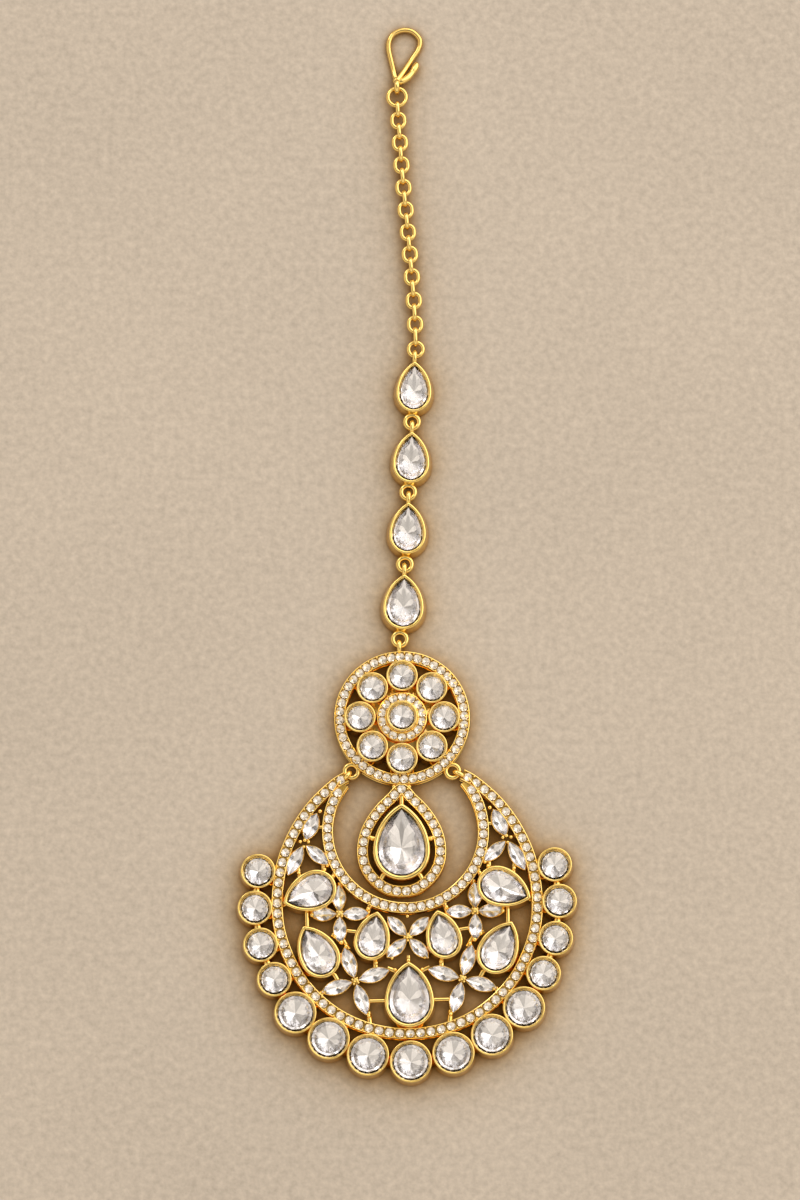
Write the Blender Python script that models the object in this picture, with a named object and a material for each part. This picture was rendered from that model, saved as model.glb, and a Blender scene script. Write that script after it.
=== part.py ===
"""Maang tikka: hair hook, chain, four pear links, a round medallion with its pear drop, and a crescent.

The jewel lies face up on the plane z = 0, with +Y towards the hair hook. Tables are in millimetres.
"""

from math import asin, atan2, cos, hypot, pi, radians, sin

import bmesh
import bpy
from mathutils import Matrix, Vector

MM = 0.001

# Shift that brings the middle of the outline to the origin
CENTRE_SHIFT = (-0.395, -1.4)

# Heights above the surface it lies on
BORDER_HEIGHT = 2.3
LINK_HEIGHT = 2.1
PEAR_HEIGHT = 2.5
ROSETTE_HEIGHT = 2.7
CENTRE_HEIGHT = 3.5
CENTRE_HALO_TOP = 2.5
DROP_HEIGHT = 2.8
BAND_BOTTOM = 0.15
BAND_TOP = 1.8
PETAL_BOTTOM = 0.3
PETAL_RIM = 1.6
PETAL_TABLE = 2.0
PETAL_EDGE = 0.08
PETAL_CROWN = 0.28
STRUT_BOTTOM = 0.45
STRUT_TOP = 1.15
WIRE_MIDDLE = 1.05

# Bezel walls and the room around each stone
RIM_WIDTH = 0.42
BASE_FLARE = 0.25
PEAR_FLARE = 0.4
FLOOR = 0.5
FLOOR_LEAN = 0.15
STONE_GAP = 0.12
GIRDLE_DROP = 0.3
TABLE_RISE = 0.25
TABLE_SHARE = 0.56
CULET_SHIFT = 0.1

# Numbers of sides
ROUND_SIDES = 12
PEAR_SIDES = 14
PETAL_SIDES = 8
LINK_STEPS = 10
WIRE_SIDES = 5

# Chain
CHAIN_WIRE = 0.26
LINK_HALF_WIDTH = 0.915
LINK_HALF_LENGTH = 1.145
TOP_RING_RADIUS = 1.35
LOW_RING_RADIUS = 1.1
LINK_BITE = 0.42
EDGE_LINK_TRIM = 0.13
CHAIN_PLACES = (
    # x, y of each ring that lies face on
    (-1.07, 69.03),
    (-0.89, 65.43),
    (-0.65, 62.05),
    (-0.42, 58.66),
    (-0.13, 55.22),
    (0.19, 51.82),
    (0.51, 48.46),
    (0.81, 45.10),
    (1.10, 41.70),
    (1.37, 38.15),
    (1.57, 34.56),
    (1.67, 30.80),
)

# Hair hook
HOOK_WIRE = 0.4
EYE_WIRE = 0.26
EYE_RADIUS = 0.85
EYE_PLACE = (-1.09, 70.55, 1.11)
HOOK_ROUTE = (
    # x, y, z from the throat round the loop and back
    (-1.15, 71.55, 1.0),
    (-1.35, 72.2, 0.7),
    (-1.62, 73.35, 0.42),
    (-1.97, 74.88, 0.4),
    (-2.29, 76.42, 0.4),
    (-2.26, 77.64, 0.4),
    (-1.75, 78.72, 0.4),
    (-0.79, 79.33, 0.4),
    (0.25, 79.49, 0.4),
    (1.28, 79.18, 0.4),
    (2.17, 78.26, 0.4),
    (2.31, 77.34, 0.4),
    (1.94, 76.26, 0.4),
    (1.13, 75.04, 0.42),
    (0.39, 73.81, 0.6),
    (-0.34, 72.59, 0.95),
    (-1.0, 71.6, 1.25),
)
TAIL_ROUTE = (
    # x, y, z of the free tail
    (-0.95, 71.3, 1.3),
    (-0.3, 71.35, 1.3),
    (0.65, 71.95, 1.2),
    (1.5, 72.95, 1.0),
    (2.0, 74.1, 0.85),
)

# Pear links, each leaning a little to the right
LINK_LEAN = radians(-1.8)
PEAR_LINKS = (
    # tip x, tip y, width, length, ring x, ring y
    (1.52, 28.85, 5.2, 7.65, 1.12, 19.93),
    (1.11, 18.33, 5.4, 7.7, 0.56, 9.45),
    (0.60, 7.80, 5.4, 7.7, 0.08, -1.27),
    (0.00, -2.86, 5.95, 8.2, -0.66, -12.33),
)
PEAR_BELLY = 0.375
RING_RADIUS = 1.0
RING_WIRE = 0.3
BAIL_WIRE = 0.23
BAIL_HALF_HEIGHT = 0.72
BAIL_HALF_LENGTH = 0.85
BAIL_SINK = 0.15

# Medallion
MEDALLION_CENTRE = (-0.35, -24.0)
MEDALLION_RADIUS = 9.0
BAND_WIDTH = 1.58
MEDALLION_STEPS = 40
MEDALLION_BAIL_SHIFT = -0.4
ROSETTE_COUNT = 8
ROSETTE_RADIUS = 6.05
ROSETTE_RIM = 2.2
CENTRE_RIM = 2.25
HALO_RADIUS = 2.95
HALO_WIDTH = 1.35
HALO_STEPS = 24
SIDE_RING_PLACE = (7.28, -7.7)
SIDE_RING_RADIUS = 0.97

# Drop
DROP_AXIS = -0.41
DROP_HALO_PLACES = (
    # half of the halo's middle line: x from the axis, y, from the tip to the bottom
    (0.0, -34.4),
    (1.6, -35.85),
    (3.05, -37.3),
    (4.3, -39.0),
    (5.2, -40.9),
    (5.6, -43.0),
    (5.4, -45.1),
    (4.6, -46.75),
    (3.3, -48.1),
    (1.75, -49.0),
    (0.0, -49.25),
)
DROP_RIM_TOP = -36.6
DROP_RIM_WIDTH = 8.2
DROP_RIM_LENGTH = 11.15
DROP_SIDES = 16
DROP_STRUTS = (
    # x from the axis, y of the start, x, y of the end, width
    (0.0, -35.0, 0.0, -36.7, 0.6),
    (0.0, -33.0, 0.0, -34.4, 1.8),
    (3.7, -41.6, 4.9, -41.3, 0.6),
    (2.3, -46.2, 3.0, -47.5, 0.7),
)

# Crescent, in its own frame: middle of the inner band, mirrored left and right
CRESCENT_CENTRE = (0.151, -40.477)
CRESCENT_TURN = radians(1.3)
INNER_RADIUS = 11.2
INNER_START = radians(39)
INNER_STEPS = 28
OUTER_PLACES = (
    # half of the outer band's middle line, from the bottom to the tip
    (0.0, -29.32),
    (3.7, -28.95),
    (7.2, -27.9),
    (10.4, -26.2),
    (13.2, -23.85),
    (15.5, -21.0),
    (17.2, -17.7),
    (18.3, -14.2),
    (18.65, -10.6),
    (18.35, -6.9),
    (17.5, -3.3),
    (15.75, 0.55),
    (13.3, 4.0),
    (10.2, 6.9),
    (8.35, 8.05),
)
SMALL_RIM = 2.5
LARGE_RIM = 3.03
BORDER_PLACES = (
    # x, y, rim radius
    (21.27, -5.45, SMALL_RIM),
    (21.82, -10.76, SMALL_RIM),
    (21.12, -16.12, SMALL_RIM),
    (19.24, -21.13, SMALL_RIM),
    (16.32, -25.99, LARGE_RIM),
    (11.65, -29.81, LARGE_RIM),
    (6.10, -32.29, LARGE_RIM),
)
BORDER_BOTTOM = (0.0, -33.38)
CRESCENT_PEARS = (
    # x, y of the middle, direction of the tip in degrees, width, length
    (14.0, -8.72, -22.0, 5.8, 8.1),
    (13.1, -17.2, 63.0, 5.8, 8.2),
    (5.02, -15.2, 102.0, 5.2, 7.2),
)
BOTTOM_PEAR = (0.0, -23.75, 90.0, 7.1, 9.5)
FLOWERS = (
    # x, y of the middle, direction of the first petal in degrees, distance, length, width
    (9.71, -11.84, 0.0, 2.3, 3.9, 2.05),
    (7.65, -21.58, -17.0, 2.8, 4.8, 2.2),
)
CENTRE_FLOWER = (0.0, -15.42, 43.0, 2.25, 4.0, 1.95)
TREFOIL_CENTRE = (14.61, -1.51)
TREFOIL_PETALS = (
    # x, y of the middle, length, width
    (13.54, 0.92, 4.4, 2.3),
    (15.92, -3.98, 4.9, 2.1),
    (12.74, -3.23, 4.4, 2.0),
)
HUB_SIZE = 0.9
HUB_SIDES = 8
# What lifts a band or a hub off the plane of its neighbours
STEP_UP = 0.1
CRESCENT_STRUTS = (
    # x, y of the start, x, y of the end, width
    (14.4, -11.2, 14.4, -13.9, 0.6),
    (15.55, -4.9, 15.3, -6.6, 0.6),
    (11.9, -3.9, 11.9, -6.2, 0.6),
    (10.2, -5.6, 10.9, -7.0, 0.6),
    (8.9, -14.15, 7.1, -14.3, 0.55),
    (4.75, -18.2, 4.7, -20.1, 0.7),
    (10.9, -20.0, 10.2, -21.3, 0.7),
    (10.0, -15.2, 10.9, -14.7, 0.6),
    (9.0, -17.6, 10.2, -17.7, 0.6),
    (9.6, -14.9, 8.5, -16.9, 0.6),
    (7.5, -17.6, 6.5, -17.0, 0.5),
    (1.4, -20.4, 3.0, -19.7, 0.7),
    (1.8, -13.8, 2.9, -13.6, 0.5),
    (1.8, -17.1, 3.1, -16.9, 0.5),
    (3.0, -24.4, 5.9, -24.4, 0.5),
    (9.6, -7.2, 9.2, -9.3, 0.6),
    (5.9, -12.4, 5.3, -10.5, 0.7),
    (12.4, -22.9, 12.9, -24.0, 0.7),
    (5.9, -26.0, 5.6, -28.2, 0.7),
)
CENTRE_STRUT = (0.0, -18.2, 0.0, -19.3, 0.8)
TIP_PLACE = (8.5, 7.85)
TIP_LOOP_START = 0.28
TIP_LOOP_SINK = 0.1

GOLD = (0.83, 0.58, 0.22, 1.0)
STONE = (0.93, 0.92, 0.9, 1.0)


def clear_scene():
    for item in list(bpy.data.objects):
        bpy.data.objects.remove(item)


def make_material(name, colour, roughness, metallic):
    material = bpy.data.materials.new(name)
    material.use_nodes = True
    shader = material.node_tree.nodes["Principled BSDF"]
    shader.inputs["Base Color"].default_value = colour
    shader.inputs["Roughness"].default_value = roughness
    shader.inputs["Metallic"].default_value = metallic
    material.diffuse_color = colour
    return material


def make_object(name, shape, material):
    """One closed mesh object, given in millimetres, with its normals outwards."""
    bmesh.ops.recalc_face_normals(shape, faces=shape.faces)
    bmesh.ops.scale(shape, vec=(MM, MM, MM), verts=shape.verts)
    shift = Vector((CENTRE_SHIFT[0], CENTRE_SHIFT[1], 0.0)) * MM
    bmesh.ops.translate(shape, vec=shift, verts=shape.verts)
    mesh = bpy.data.meshes.new(name)
    shape.to_mesh(mesh)
    shape.free()
    mesh.materials.append(material)
    mesh.shade_smooth()
    mesh.set_sharp_from_angle(angle=radians(40))
    item = bpy.data.objects.new(name, mesh)
    bpy.context.scene.collection.objects.link(item)
    return item


def place(x, y, turn=0.0):
    return Matrix.Translation((x, y, 0.0)) @ Matrix.Rotation(turn, 4, "Z")


# Outlines, as lists of (x, y) with the tip towards +Y


def round_outline(radius, sides=ROUND_SIDES):
    """A polygon whose corners lie as far outside the circle as its sides lie inside."""
    reach = radius * 2 / (1 + cos(pi / sides))
    turns = [2 * pi * (k + 0.5) / sides for k in range(sides)]
    return [(reach * sin(turn), reach * cos(turn)) for turn in turns]


def pear_outline(width, length, sides=PEAR_SIDES):
    """A half ellipse below and two arcs that meet at the tip above, around the middle of its length."""
    half = width / 2
    belly = PEAR_BELLY * length
    rise = length - belly
    flank = (half * half + rise * rise) / (2 * half)
    widest = belly - length / 2
    flank_steps = sides // 2 - 3
    right = []
    for k in range(flank_steps):
        turn = asin(rise / flank) * (1 - k / flank_steps)
        right.append((flank * cos(turn) - flank + half, widest + flank * sin(turn)))
    right[0] = (0.0, length / 2)
    low_steps = sides // 2 - flank_steps
    for k in range(low_steps):
        turn = pi / 2 * k / low_steps
        right.append((half * cos(turn), widest - belly * sin(turn)))
    left = [(-x, y) for x, y in reversed(right[1:])]
    return right + [(0.0, -length / 2)] + left


def marquise_outline(width, length, sides=PETAL_SIDES):
    """Two equal arcs that meet in points at both ends."""
    half = width / 2
    reach = length / 2
    radius = (half * half + reach * reach) / (2 * half)
    spread = asin(reach / radius)
    steps = sides // 2
    right = []
    for k in range(steps):
        turn = spread * (1 - 2 * k / steps)
        right.append((radius * cos(turn) - radius + half, radius * sin(turn)))
    left = [(-x, -y) for x, y in right]
    return right + left


# Solids


def grow_face(shape, face):
    """Extrudes one face, without the old face where other faces already meet it."""
    inside = any(len(edge.link_faces) > 1 for edge in face.edges)
    grown = bmesh.ops.extrude_face_region(shape, geom=[face])["geom"]
    if inside and face.is_valid:
        bmesh.ops.delete(shape, geom=[face], context="FACES_ONLY")
    return grown


def stack(shape, outline, bottom, steps, matrix):
    """Extrudes an outline upwards. Each step gives a height and how far in each side is, in x and in y."""
    xs = [x for x, y in outline]
    ys = [y for x, y in outline]
    half_x = (max(xs) - min(xs)) / 2
    half_y = (max(ys) - min(ys)) / 2
    middle_y = (max(ys) + min(ys)) / 2
    verts = [shape.verts.new((x, y, bottom)) for x, y in outline]
    face = shape.faces.new(verts)
    made = set(verts)
    size_x, size_y = half_x, half_y
    height = bottom
    for top, inset_x, inset_y in steps:
        grown = grow_face(shape, face)
        face = next(part for part in grown if isinstance(part, bmesh.types.BMFace))
        new_verts = list(face.verts)
        for vert in new_verts:
            vert.co.x *= (half_x - inset_x) / size_x
            vert.co.y = middle_y + (vert.co.y - middle_y) * (half_y - inset_y) / size_y
            vert.co.z += top - height
        size_x, size_y = half_x - inset_x, half_y - inset_y
        height = top
        made.update(new_verts)
    bmesh.ops.transform(shape, matrix=matrix, verts=list(made))
    return face


def add_cup(shape, outline, height, flare_x, flare_y, matrix):
    """A bezel: a wall that leans in to its rim, open above a floor. The outline is that of its base."""
    inner_x = flare_x + RIM_WIDTH
    inner_y = flare_y + RIM_WIDTH
    steps = [
        (height, flare_x, flare_y),
        (height, inner_x, inner_y),
        (FLOOR, inner_x + FLOOR_LEAN, inner_y + FLOOR_LEAN),
    ]
    stack(shape, outline, 0.0, steps, matrix)


def add_stone(shape, outline, height, matrix):
    """A cut stone: a pointed pavilion, a girdle that is the outline, and a crown with its table."""
    half_x = max(x for x, y in outline)
    girdle = height - GIRDLE_DROP
    culet = FLOOR + STONE_GAP
    half_y = (max(y for x, y in outline) - min(y for x, y in outline)) / 2
    middle_y = (max(y for x, y in outline) + min(y for x, y in outline)) / 2
    start = set(shape.verts)
    table = height + TABLE_RISE - GIRDLE_DROP / 2
    crown = (table, half_x * (1 - TABLE_SHARE), half_y * (1 - TABLE_SHARE))
    stack(shape, outline, girdle, [crown], Matrix())
    low = {v for v in shape.verts if v not in start and v.co.z < (girdle + table) / 2}
    base = next(f for f in shape.faces if low.issuperset(f.verts))
    grown = grow_face(shape, base)
    point = [part for part in grown if isinstance(part, bmesh.types.BMVert)]
    tip = Vector((0.0, middle_y - CULET_SHIFT * half_y, culet))
    bmesh.ops.pointmerge(shape, verts=point, merge_co=tip)
    new = [v for v in shape.verts if v not in start]
    bmesh.ops.transform(shape, matrix=matrix, verts=new)


def add_ring(shape, radius, wire, matrix, stretch=0.0):
    """A ring of round wire around Z, its halves drawn apart along Y by the stretch."""
    start = set(shape.verts)
    upright = Matrix.Translation((radius, 0.0, 0.0)) @ Matrix.Rotation(pi / 2, 4, "X")
    turned = upright @ Matrix.Rotation(pi / 2, 4, "Z")
    circle = bmesh.ops.create_circle(
        shape, segments=WIRE_SIDES, radius=wire, matrix=turned
    )
    profile = list(circle["verts"])
    edges = {edge for vert in profile for edge in vert.link_edges}
    bmesh.ops.spin(
        shape,
        geom=profile + list(edges),
        axis=(0.0, 0.0, 1.0),
        cent=(0.0, 0.0, 0.0),
        angle=2 * pi,
        steps=LINK_STEPS,
        use_merge=True,
    )
    new = [v for v in shape.verts if v not in start]
    half_step = Matrix.Rotation(pi / LINK_STEPS, 4, "Z")
    bmesh.ops.transform(shape, matrix=half_step, verts=new)
    for vert in new:
        vert.co.y += stretch if vert.co.y > 0 else -stretch
    bmesh.ops.transform(shape, matrix=matrix, verts=new)


def add_wire(shape, route, wire, sides=6, end_scale=1.0):
    """A round wire along a list of points, capped at both ends."""
    points = [Vector(point) for point in route]
    start = set(shape.verts)
    loops = []
    for k, point in enumerate(points):
        ahead = points[min(k + 1, len(points) - 1)] - points[max(k - 1, 0)]
        across = Vector((-ahead.y, ahead.x, 0.0)).normalized()
        above = ahead.normalized().cross(across)
        size = wire * (end_scale if k == len(points) - 1 else 1.0)
        ring = []
        for side in range(sides):
            turn = 2 * pi * side / sides
            offset = across * cos(turn) + above * sin(turn)
            ring.append(shape.verts.new(point + offset * size))
        loops.append(ring)
    for ring in loops:
        for k, vert in enumerate(ring):
            shape.edges.new((vert, ring[(k + 1) % sides]))
    for near, far in zip(loops, loops[1:]):
        edges = []
        for ring in (near, far):
            edges += [shape.edges.get((vert, ring[(k + 1) % sides])) for k, vert in enumerate(ring)]
        bmesh.ops.bridge_loops(shape, edges=edges)
    shape.faces.new(loops[0])
    shape.faces.new(loops[-1])
    return [v for v in shape.verts if v not in start]


def add_band(shape, middle, width, bottom, top, matrix, closed=False):
    """A flat band of square section along a middle line of (x, y) points."""
    count = len(middle)
    inner = []
    outer = []
    for k, (x, y) in enumerate(middle):
        before = middle[(k - 1) % count] if closed else middle[max(k - 1, 0)]
        after = middle[(k + 1) % count] if closed else middle[min(k + 1, count - 1)]
        dx, dy = after[0] - before[0], after[1] - before[1]
        size = hypot(dx, dy)
        nx, ny = -dy / size * width / 2, dx / size * width / 2
        inner.append(shape.verts.new((x + nx, y + ny, bottom)))
        outer.append(shape.verts.new((x - nx, y - ny, bottom)))
    faces = []
    for k in range(count if closed else count - 1):
        after = (k + 1) % count
        faces.append(shape.faces.new((inner[k], outer[k], outer[after], inner[after])))
    grown = bmesh.ops.extrude_face_region(shape, geom=faces)["geom"]
    lifted = [part for part in grown if isinstance(part, bmesh.types.BMVert)]
    bmesh.ops.translate(shape, vec=(0.0, 0.0, top - bottom), verts=lifted)
    bmesh.ops.transform(shape, matrix=matrix, verts=inner + outer + lifted)


def add_strut(shape, start, end, width, matrix):
    dx, dy = end[0] - start[0], end[1] - start[1]
    size = Matrix.Diagonal((hypot(dx, dy), width, STRUT_TOP - STRUT_BOTTOM, 1.0))
    middle = Vector(((start[0] + end[0]) / 2, (start[1] + end[1]) / 2, (STRUT_TOP + STRUT_BOTTOM) / 2))
    turn = Matrix.Rotation(atan2(dy, dx), 4, "Z")
    bmesh.ops.create_cube(shape, size=1.0, matrix=matrix @ Matrix.Translation(middle) @ turn @ size)


def add_bail(shape, x, y, turn, half_length, half_height=BAIL_HALF_HEIGHT):
    """An upright loop of wire, seen on edge from above."""
    upright = Matrix.Rotation(pi / 2, 4, "Y")
    spot = Matrix.Translation((x, y, WIRE_MIDDLE)) @ Matrix.Rotation(turn, 4, "Z")
    add_ring(shape, half_height, BAIL_WIRE, spot @ upright, half_length - half_height)


def fused(name, shapes, material):
    """One solid from many overlapping ones."""
    group = bpy.data.collections.new(name + "_pieces")
    bpy.context.scene.collection.children.link(group)
    group.hide_render = True
    pieces = [make_object(f"{name}_piece_{k}", shape, material) for k, shape in enumerate(shapes)]
    body, others = pieces[0], pieces[1:]
    body.name = name
    body.data.name = name
    for item in others:
        bpy.context.scene.collection.objects.unlink(item)
        group.objects.link(item)
        item.hide_render = True
        item.display_type = "WIRE"
    union = body.modifiers.new("Fused", "BOOLEAN")
    union.operation = "UNION"
    union.operand_type = "COLLECTION"
    union.collection = group
    union.solver = "EXACT"
    return body


def one_shape(add, *arguments, **options):
    shape = bmesh.new()
    add(shape, *arguments, **options)
    return shape


def face_on(x, y, z=WIRE_MIDDLE):
    return Matrix.Translation((x, y, z))


# Sub-parts


def build_hair_hook(gold):
    eye_spot = Matrix.Translation(EYE_PLACE) @ Matrix.Rotation(pi / 2, 4, "Y")
    shapes = [
        one_shape(add_wire, HOOK_ROUTE, HOOK_WIRE),
        one_shape(add_wire, TAIL_ROUTE, HOOK_WIRE, end_scale=0.6),
        one_shape(add_ring, EYE_RADIUS, EYE_WIRE, eye_spot),
    ]
    fused("hair_hook", shapes, gold)


def build_chain(gold):
    sizes = [(TOP_RING_RADIUS, 0.0)]
    sizes += [(LINK_HALF_WIDTH, LINK_HALF_LENGTH - LINK_HALF_WIDTH)] * (len(CHAIN_PLACES) - 2)
    sizes += [(LOW_RING_RADIUS, 0.0)]
    shapes = []
    for k, (x, y) in enumerate(CHAIN_PLACES):
        after = CHAIN_PLACES[min(k + 1, len(CHAIN_PLACES) - 1)]
        before = CHAIN_PLACES[max(k - 1, 0)]
        turn = atan2(after[0] - before[0], before[1] - after[1])
        radius, stretch = sizes[k]
        flat = face_on(x, y) @ Matrix.Rotation(turn, 4, "Z")
        shapes.append(one_shape(add_ring, radius, CHAIN_WIRE, flat, stretch))
    upright = Matrix.Rotation(pi / 2, 4, "Y")
    for k, (x, y) in enumerate(CHAIN_PLACES[:-1]):
        after_x, after_y = CHAIN_PLACES[k + 1]
        pitch = hypot(after_x - x, after_y - y)
        near = sum(sizes[k]) - LINK_BITE
        far = pitch - sum(sizes[k + 1]) + LINK_BITE
        share = (near + far) / 2 / pitch
        middle = (x + (after_x - x) * share, y + (after_y - y) * share)
        turn = atan2(after_x - x, y - after_y)
        spot = face_on(*middle) @ Matrix.Rotation(turn, 4, "Z") @ upright
        half = (far - near) / 2
        width = min(LINK_HALF_WIDTH - EDGE_LINK_TRIM, half)
        shapes.append(one_shape(add_ring, width, CHAIN_WIRE, spot, half - width))
    fused("chain", shapes, gold)


def build_pear_links(gold, stone):
    for number, (tip_x, tip_y, width, length, ring_x, ring_y) in enumerate(PEAR_LINKS, 1):
        lean = Matrix.Rotation(LINK_LEAN, 4, "Z")
        middle = Vector((tip_x, tip_y, 0.0)) - lean @ Vector((0.0, length / 2, 0.0))
        spot = Matrix.Translation(middle) @ lean
        base = pear_outline(width + 2 * PEAR_FLARE, length + PEAR_FLARE)
        low = spot @ Matrix.Translation((0.0, -PEAR_FLARE / 2, 0.0))
        bail_y = tip_y + BAIL_HALF_LENGTH - BAIL_SINK
        shapes = [
            one_shape(add_cup, base, LINK_HEIGHT, PEAR_FLARE, PEAR_FLARE / 2, low),
            one_shape(add_ring, RING_RADIUS, RING_WIRE, face_on(ring_x, ring_y)),
            one_shape(add_bail, tip_x, bail_y, LINK_LEAN, BAIL_HALF_LENGTH),
        ]
        fused(f"pear_link_{number}", shapes, gold)
        room = RIM_WIDTH + STONE_GAP
        girdle = pear_outline(width - 2 * room, length - 2 * room)
        make_object(f"link_stone_{number}", one_shape(add_stone, girdle, LINK_HEIGHT, low), stone)


def rosette_places():
    x, y = MEDALLION_CENTRE
    turns = [2 * pi * k / ROSETTE_COUNT for k in range(ROSETTE_COUNT)]
    spots = [(x + ROSETTE_RADIUS * sin(turn), y + ROSETTE_RADIUS * cos(turn)) for turn in turns]
    around = [(*spot, ROSETTE_RIM, ROSETTE_HEIGHT) for spot in spots]
    return around + [(x, y, CENTRE_RIM, CENTRE_HEIGHT)]


def circle_points(x, y, radius, steps):
    turns = [2 * pi * k / steps for k in range(steps)]
    return [(x + radius * cos(turn), y + radius * sin(turn)) for turn in turns]


def drop_halo_line():
    right = [(DROP_AXIS + x, y) for x, y in DROP_HALO_PLACES]
    left = [(DROP_AXIS - x, y) for x, y in DROP_HALO_PLACES[-2:0:-1]]
    return right + left


def build_medallion(gold, stone):
    x, y = MEDALLION_CENTRE
    ring = circle_points(x, y, MEDALLION_RADIUS, MEDALLION_STEPS)
    halo = circle_points(x, y, HALO_RADIUS, HALO_STEPS)
    drop_halo = drop_halo_line()
    level = Matrix()
    shapes = [
        one_shape(add_band, ring, BAND_WIDTH, BAND_BOTTOM, BAND_TOP, level, closed=True),
        one_shape(add_band, halo, HALO_WIDTH, BAND_BOTTOM + STEP_UP, CENTRE_HALO_TOP, level, closed=True),
        one_shape(add_band, drop_halo, BAND_WIDTH, BAND_BOTTOM, BAND_TOP, level, closed=True),
    ]
    for number, (stone_x, stone_y, rim, height) in enumerate(rosette_places(), 1):
        base = round_outline(rim + BASE_FLARE)
        spot = place(stone_x, stone_y)
        shapes.append(one_shape(add_cup, base, height, BASE_FLARE, BASE_FLARE, spot))
        girdle = round_outline(rim - RIM_WIDTH - STONE_GAP)
        cut = one_shape(add_stone, girdle, height, spot)
        make_object(f"medallion_stone_{number}", cut, stone)
    side_x, side_y = SIDE_RING_PLACE
    for side in (-1, 1):
        spot = face_on(x + side * side_x, y + side_y)
        shapes.append(one_shape(add_ring, SIDE_RING_RADIUS, RING_WIRE, spot))
    bail_y = y + MEDALLION_RADIUS + BAND_WIDTH / 2 - BAIL_SINK + BAIL_HALF_LENGTH
    shapes.append(one_shape(add_bail, x + MEDALLION_BAIL_SHIFT, bail_y, 0.0, BAIL_HALF_LENGTH))
    drop_middle = DROP_RIM_TOP - DROP_RIM_LENGTH / 2
    spot = place(DROP_AXIS, drop_middle)
    base = pear_outline(DROP_RIM_WIDTH + 2 * BASE_FLARE, DROP_RIM_LENGTH + 2 * BASE_FLARE, DROP_SIDES)
    shapes.append(one_shape(add_cup, base, DROP_HEIGHT, BASE_FLARE, BASE_FLARE, spot))
    room = RIM_WIDTH + STONE_GAP
    girdle = pear_outline(DROP_RIM_WIDTH - 2 * room, DROP_RIM_LENGTH - 2 * room, DROP_SIDES)
    make_object("drop_stone", one_shape(add_stone, girdle, DROP_HEIGHT, spot), stone)
    for start_x, start_y, end_x, end_y, width in DROP_STRUTS:
        for side in (-1, 1) if start_x else (1,):
            start = (DROP_AXIS + side * start_x, start_y)
            end = (DROP_AXIS + side * end_x, end_y)
            shapes.append(one_shape(add_strut, start, end, width, level))
    fused("medallion_setting", shapes, gold)


def petal(shape, x, y, direction, length, width, frame):
    """A marquise stone in its thin setting, lying along a direction."""
    outline = marquise_outline(width, length)
    crown = (PETAL_TABLE, PETAL_CROWN * width, PETAL_CROWN * length)
    steps = [(PETAL_RIM, PETAL_EDGE, PETAL_EDGE), crown]
    stack(shape, outline, PETAL_BOTTOM, steps, frame @ place(x, y, direction - pi / 2))


def flower(shapes, x, y, first, distance, length, width, frame):
    for k in range(4):
        turn = first + k * pi / 2
        spot = (x + distance * cos(turn), y + distance * sin(turn))
        shapes.append(one_shape(petal, *spot, turn, length, width, frame))
    shapes.append(one_shape(add_hub, x, y, frame))


def add_hub(shape, x, y, frame):
    outline = round_outline(HUB_SIZE / 2, HUB_SIDES)
    top = (PETAL_RIM + STEP_UP, PETAL_EDGE, PETAL_EDGE)
    stack(shape, outline, PETAL_BOTTOM + STEP_UP, [top], frame @ place(x, y))


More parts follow.
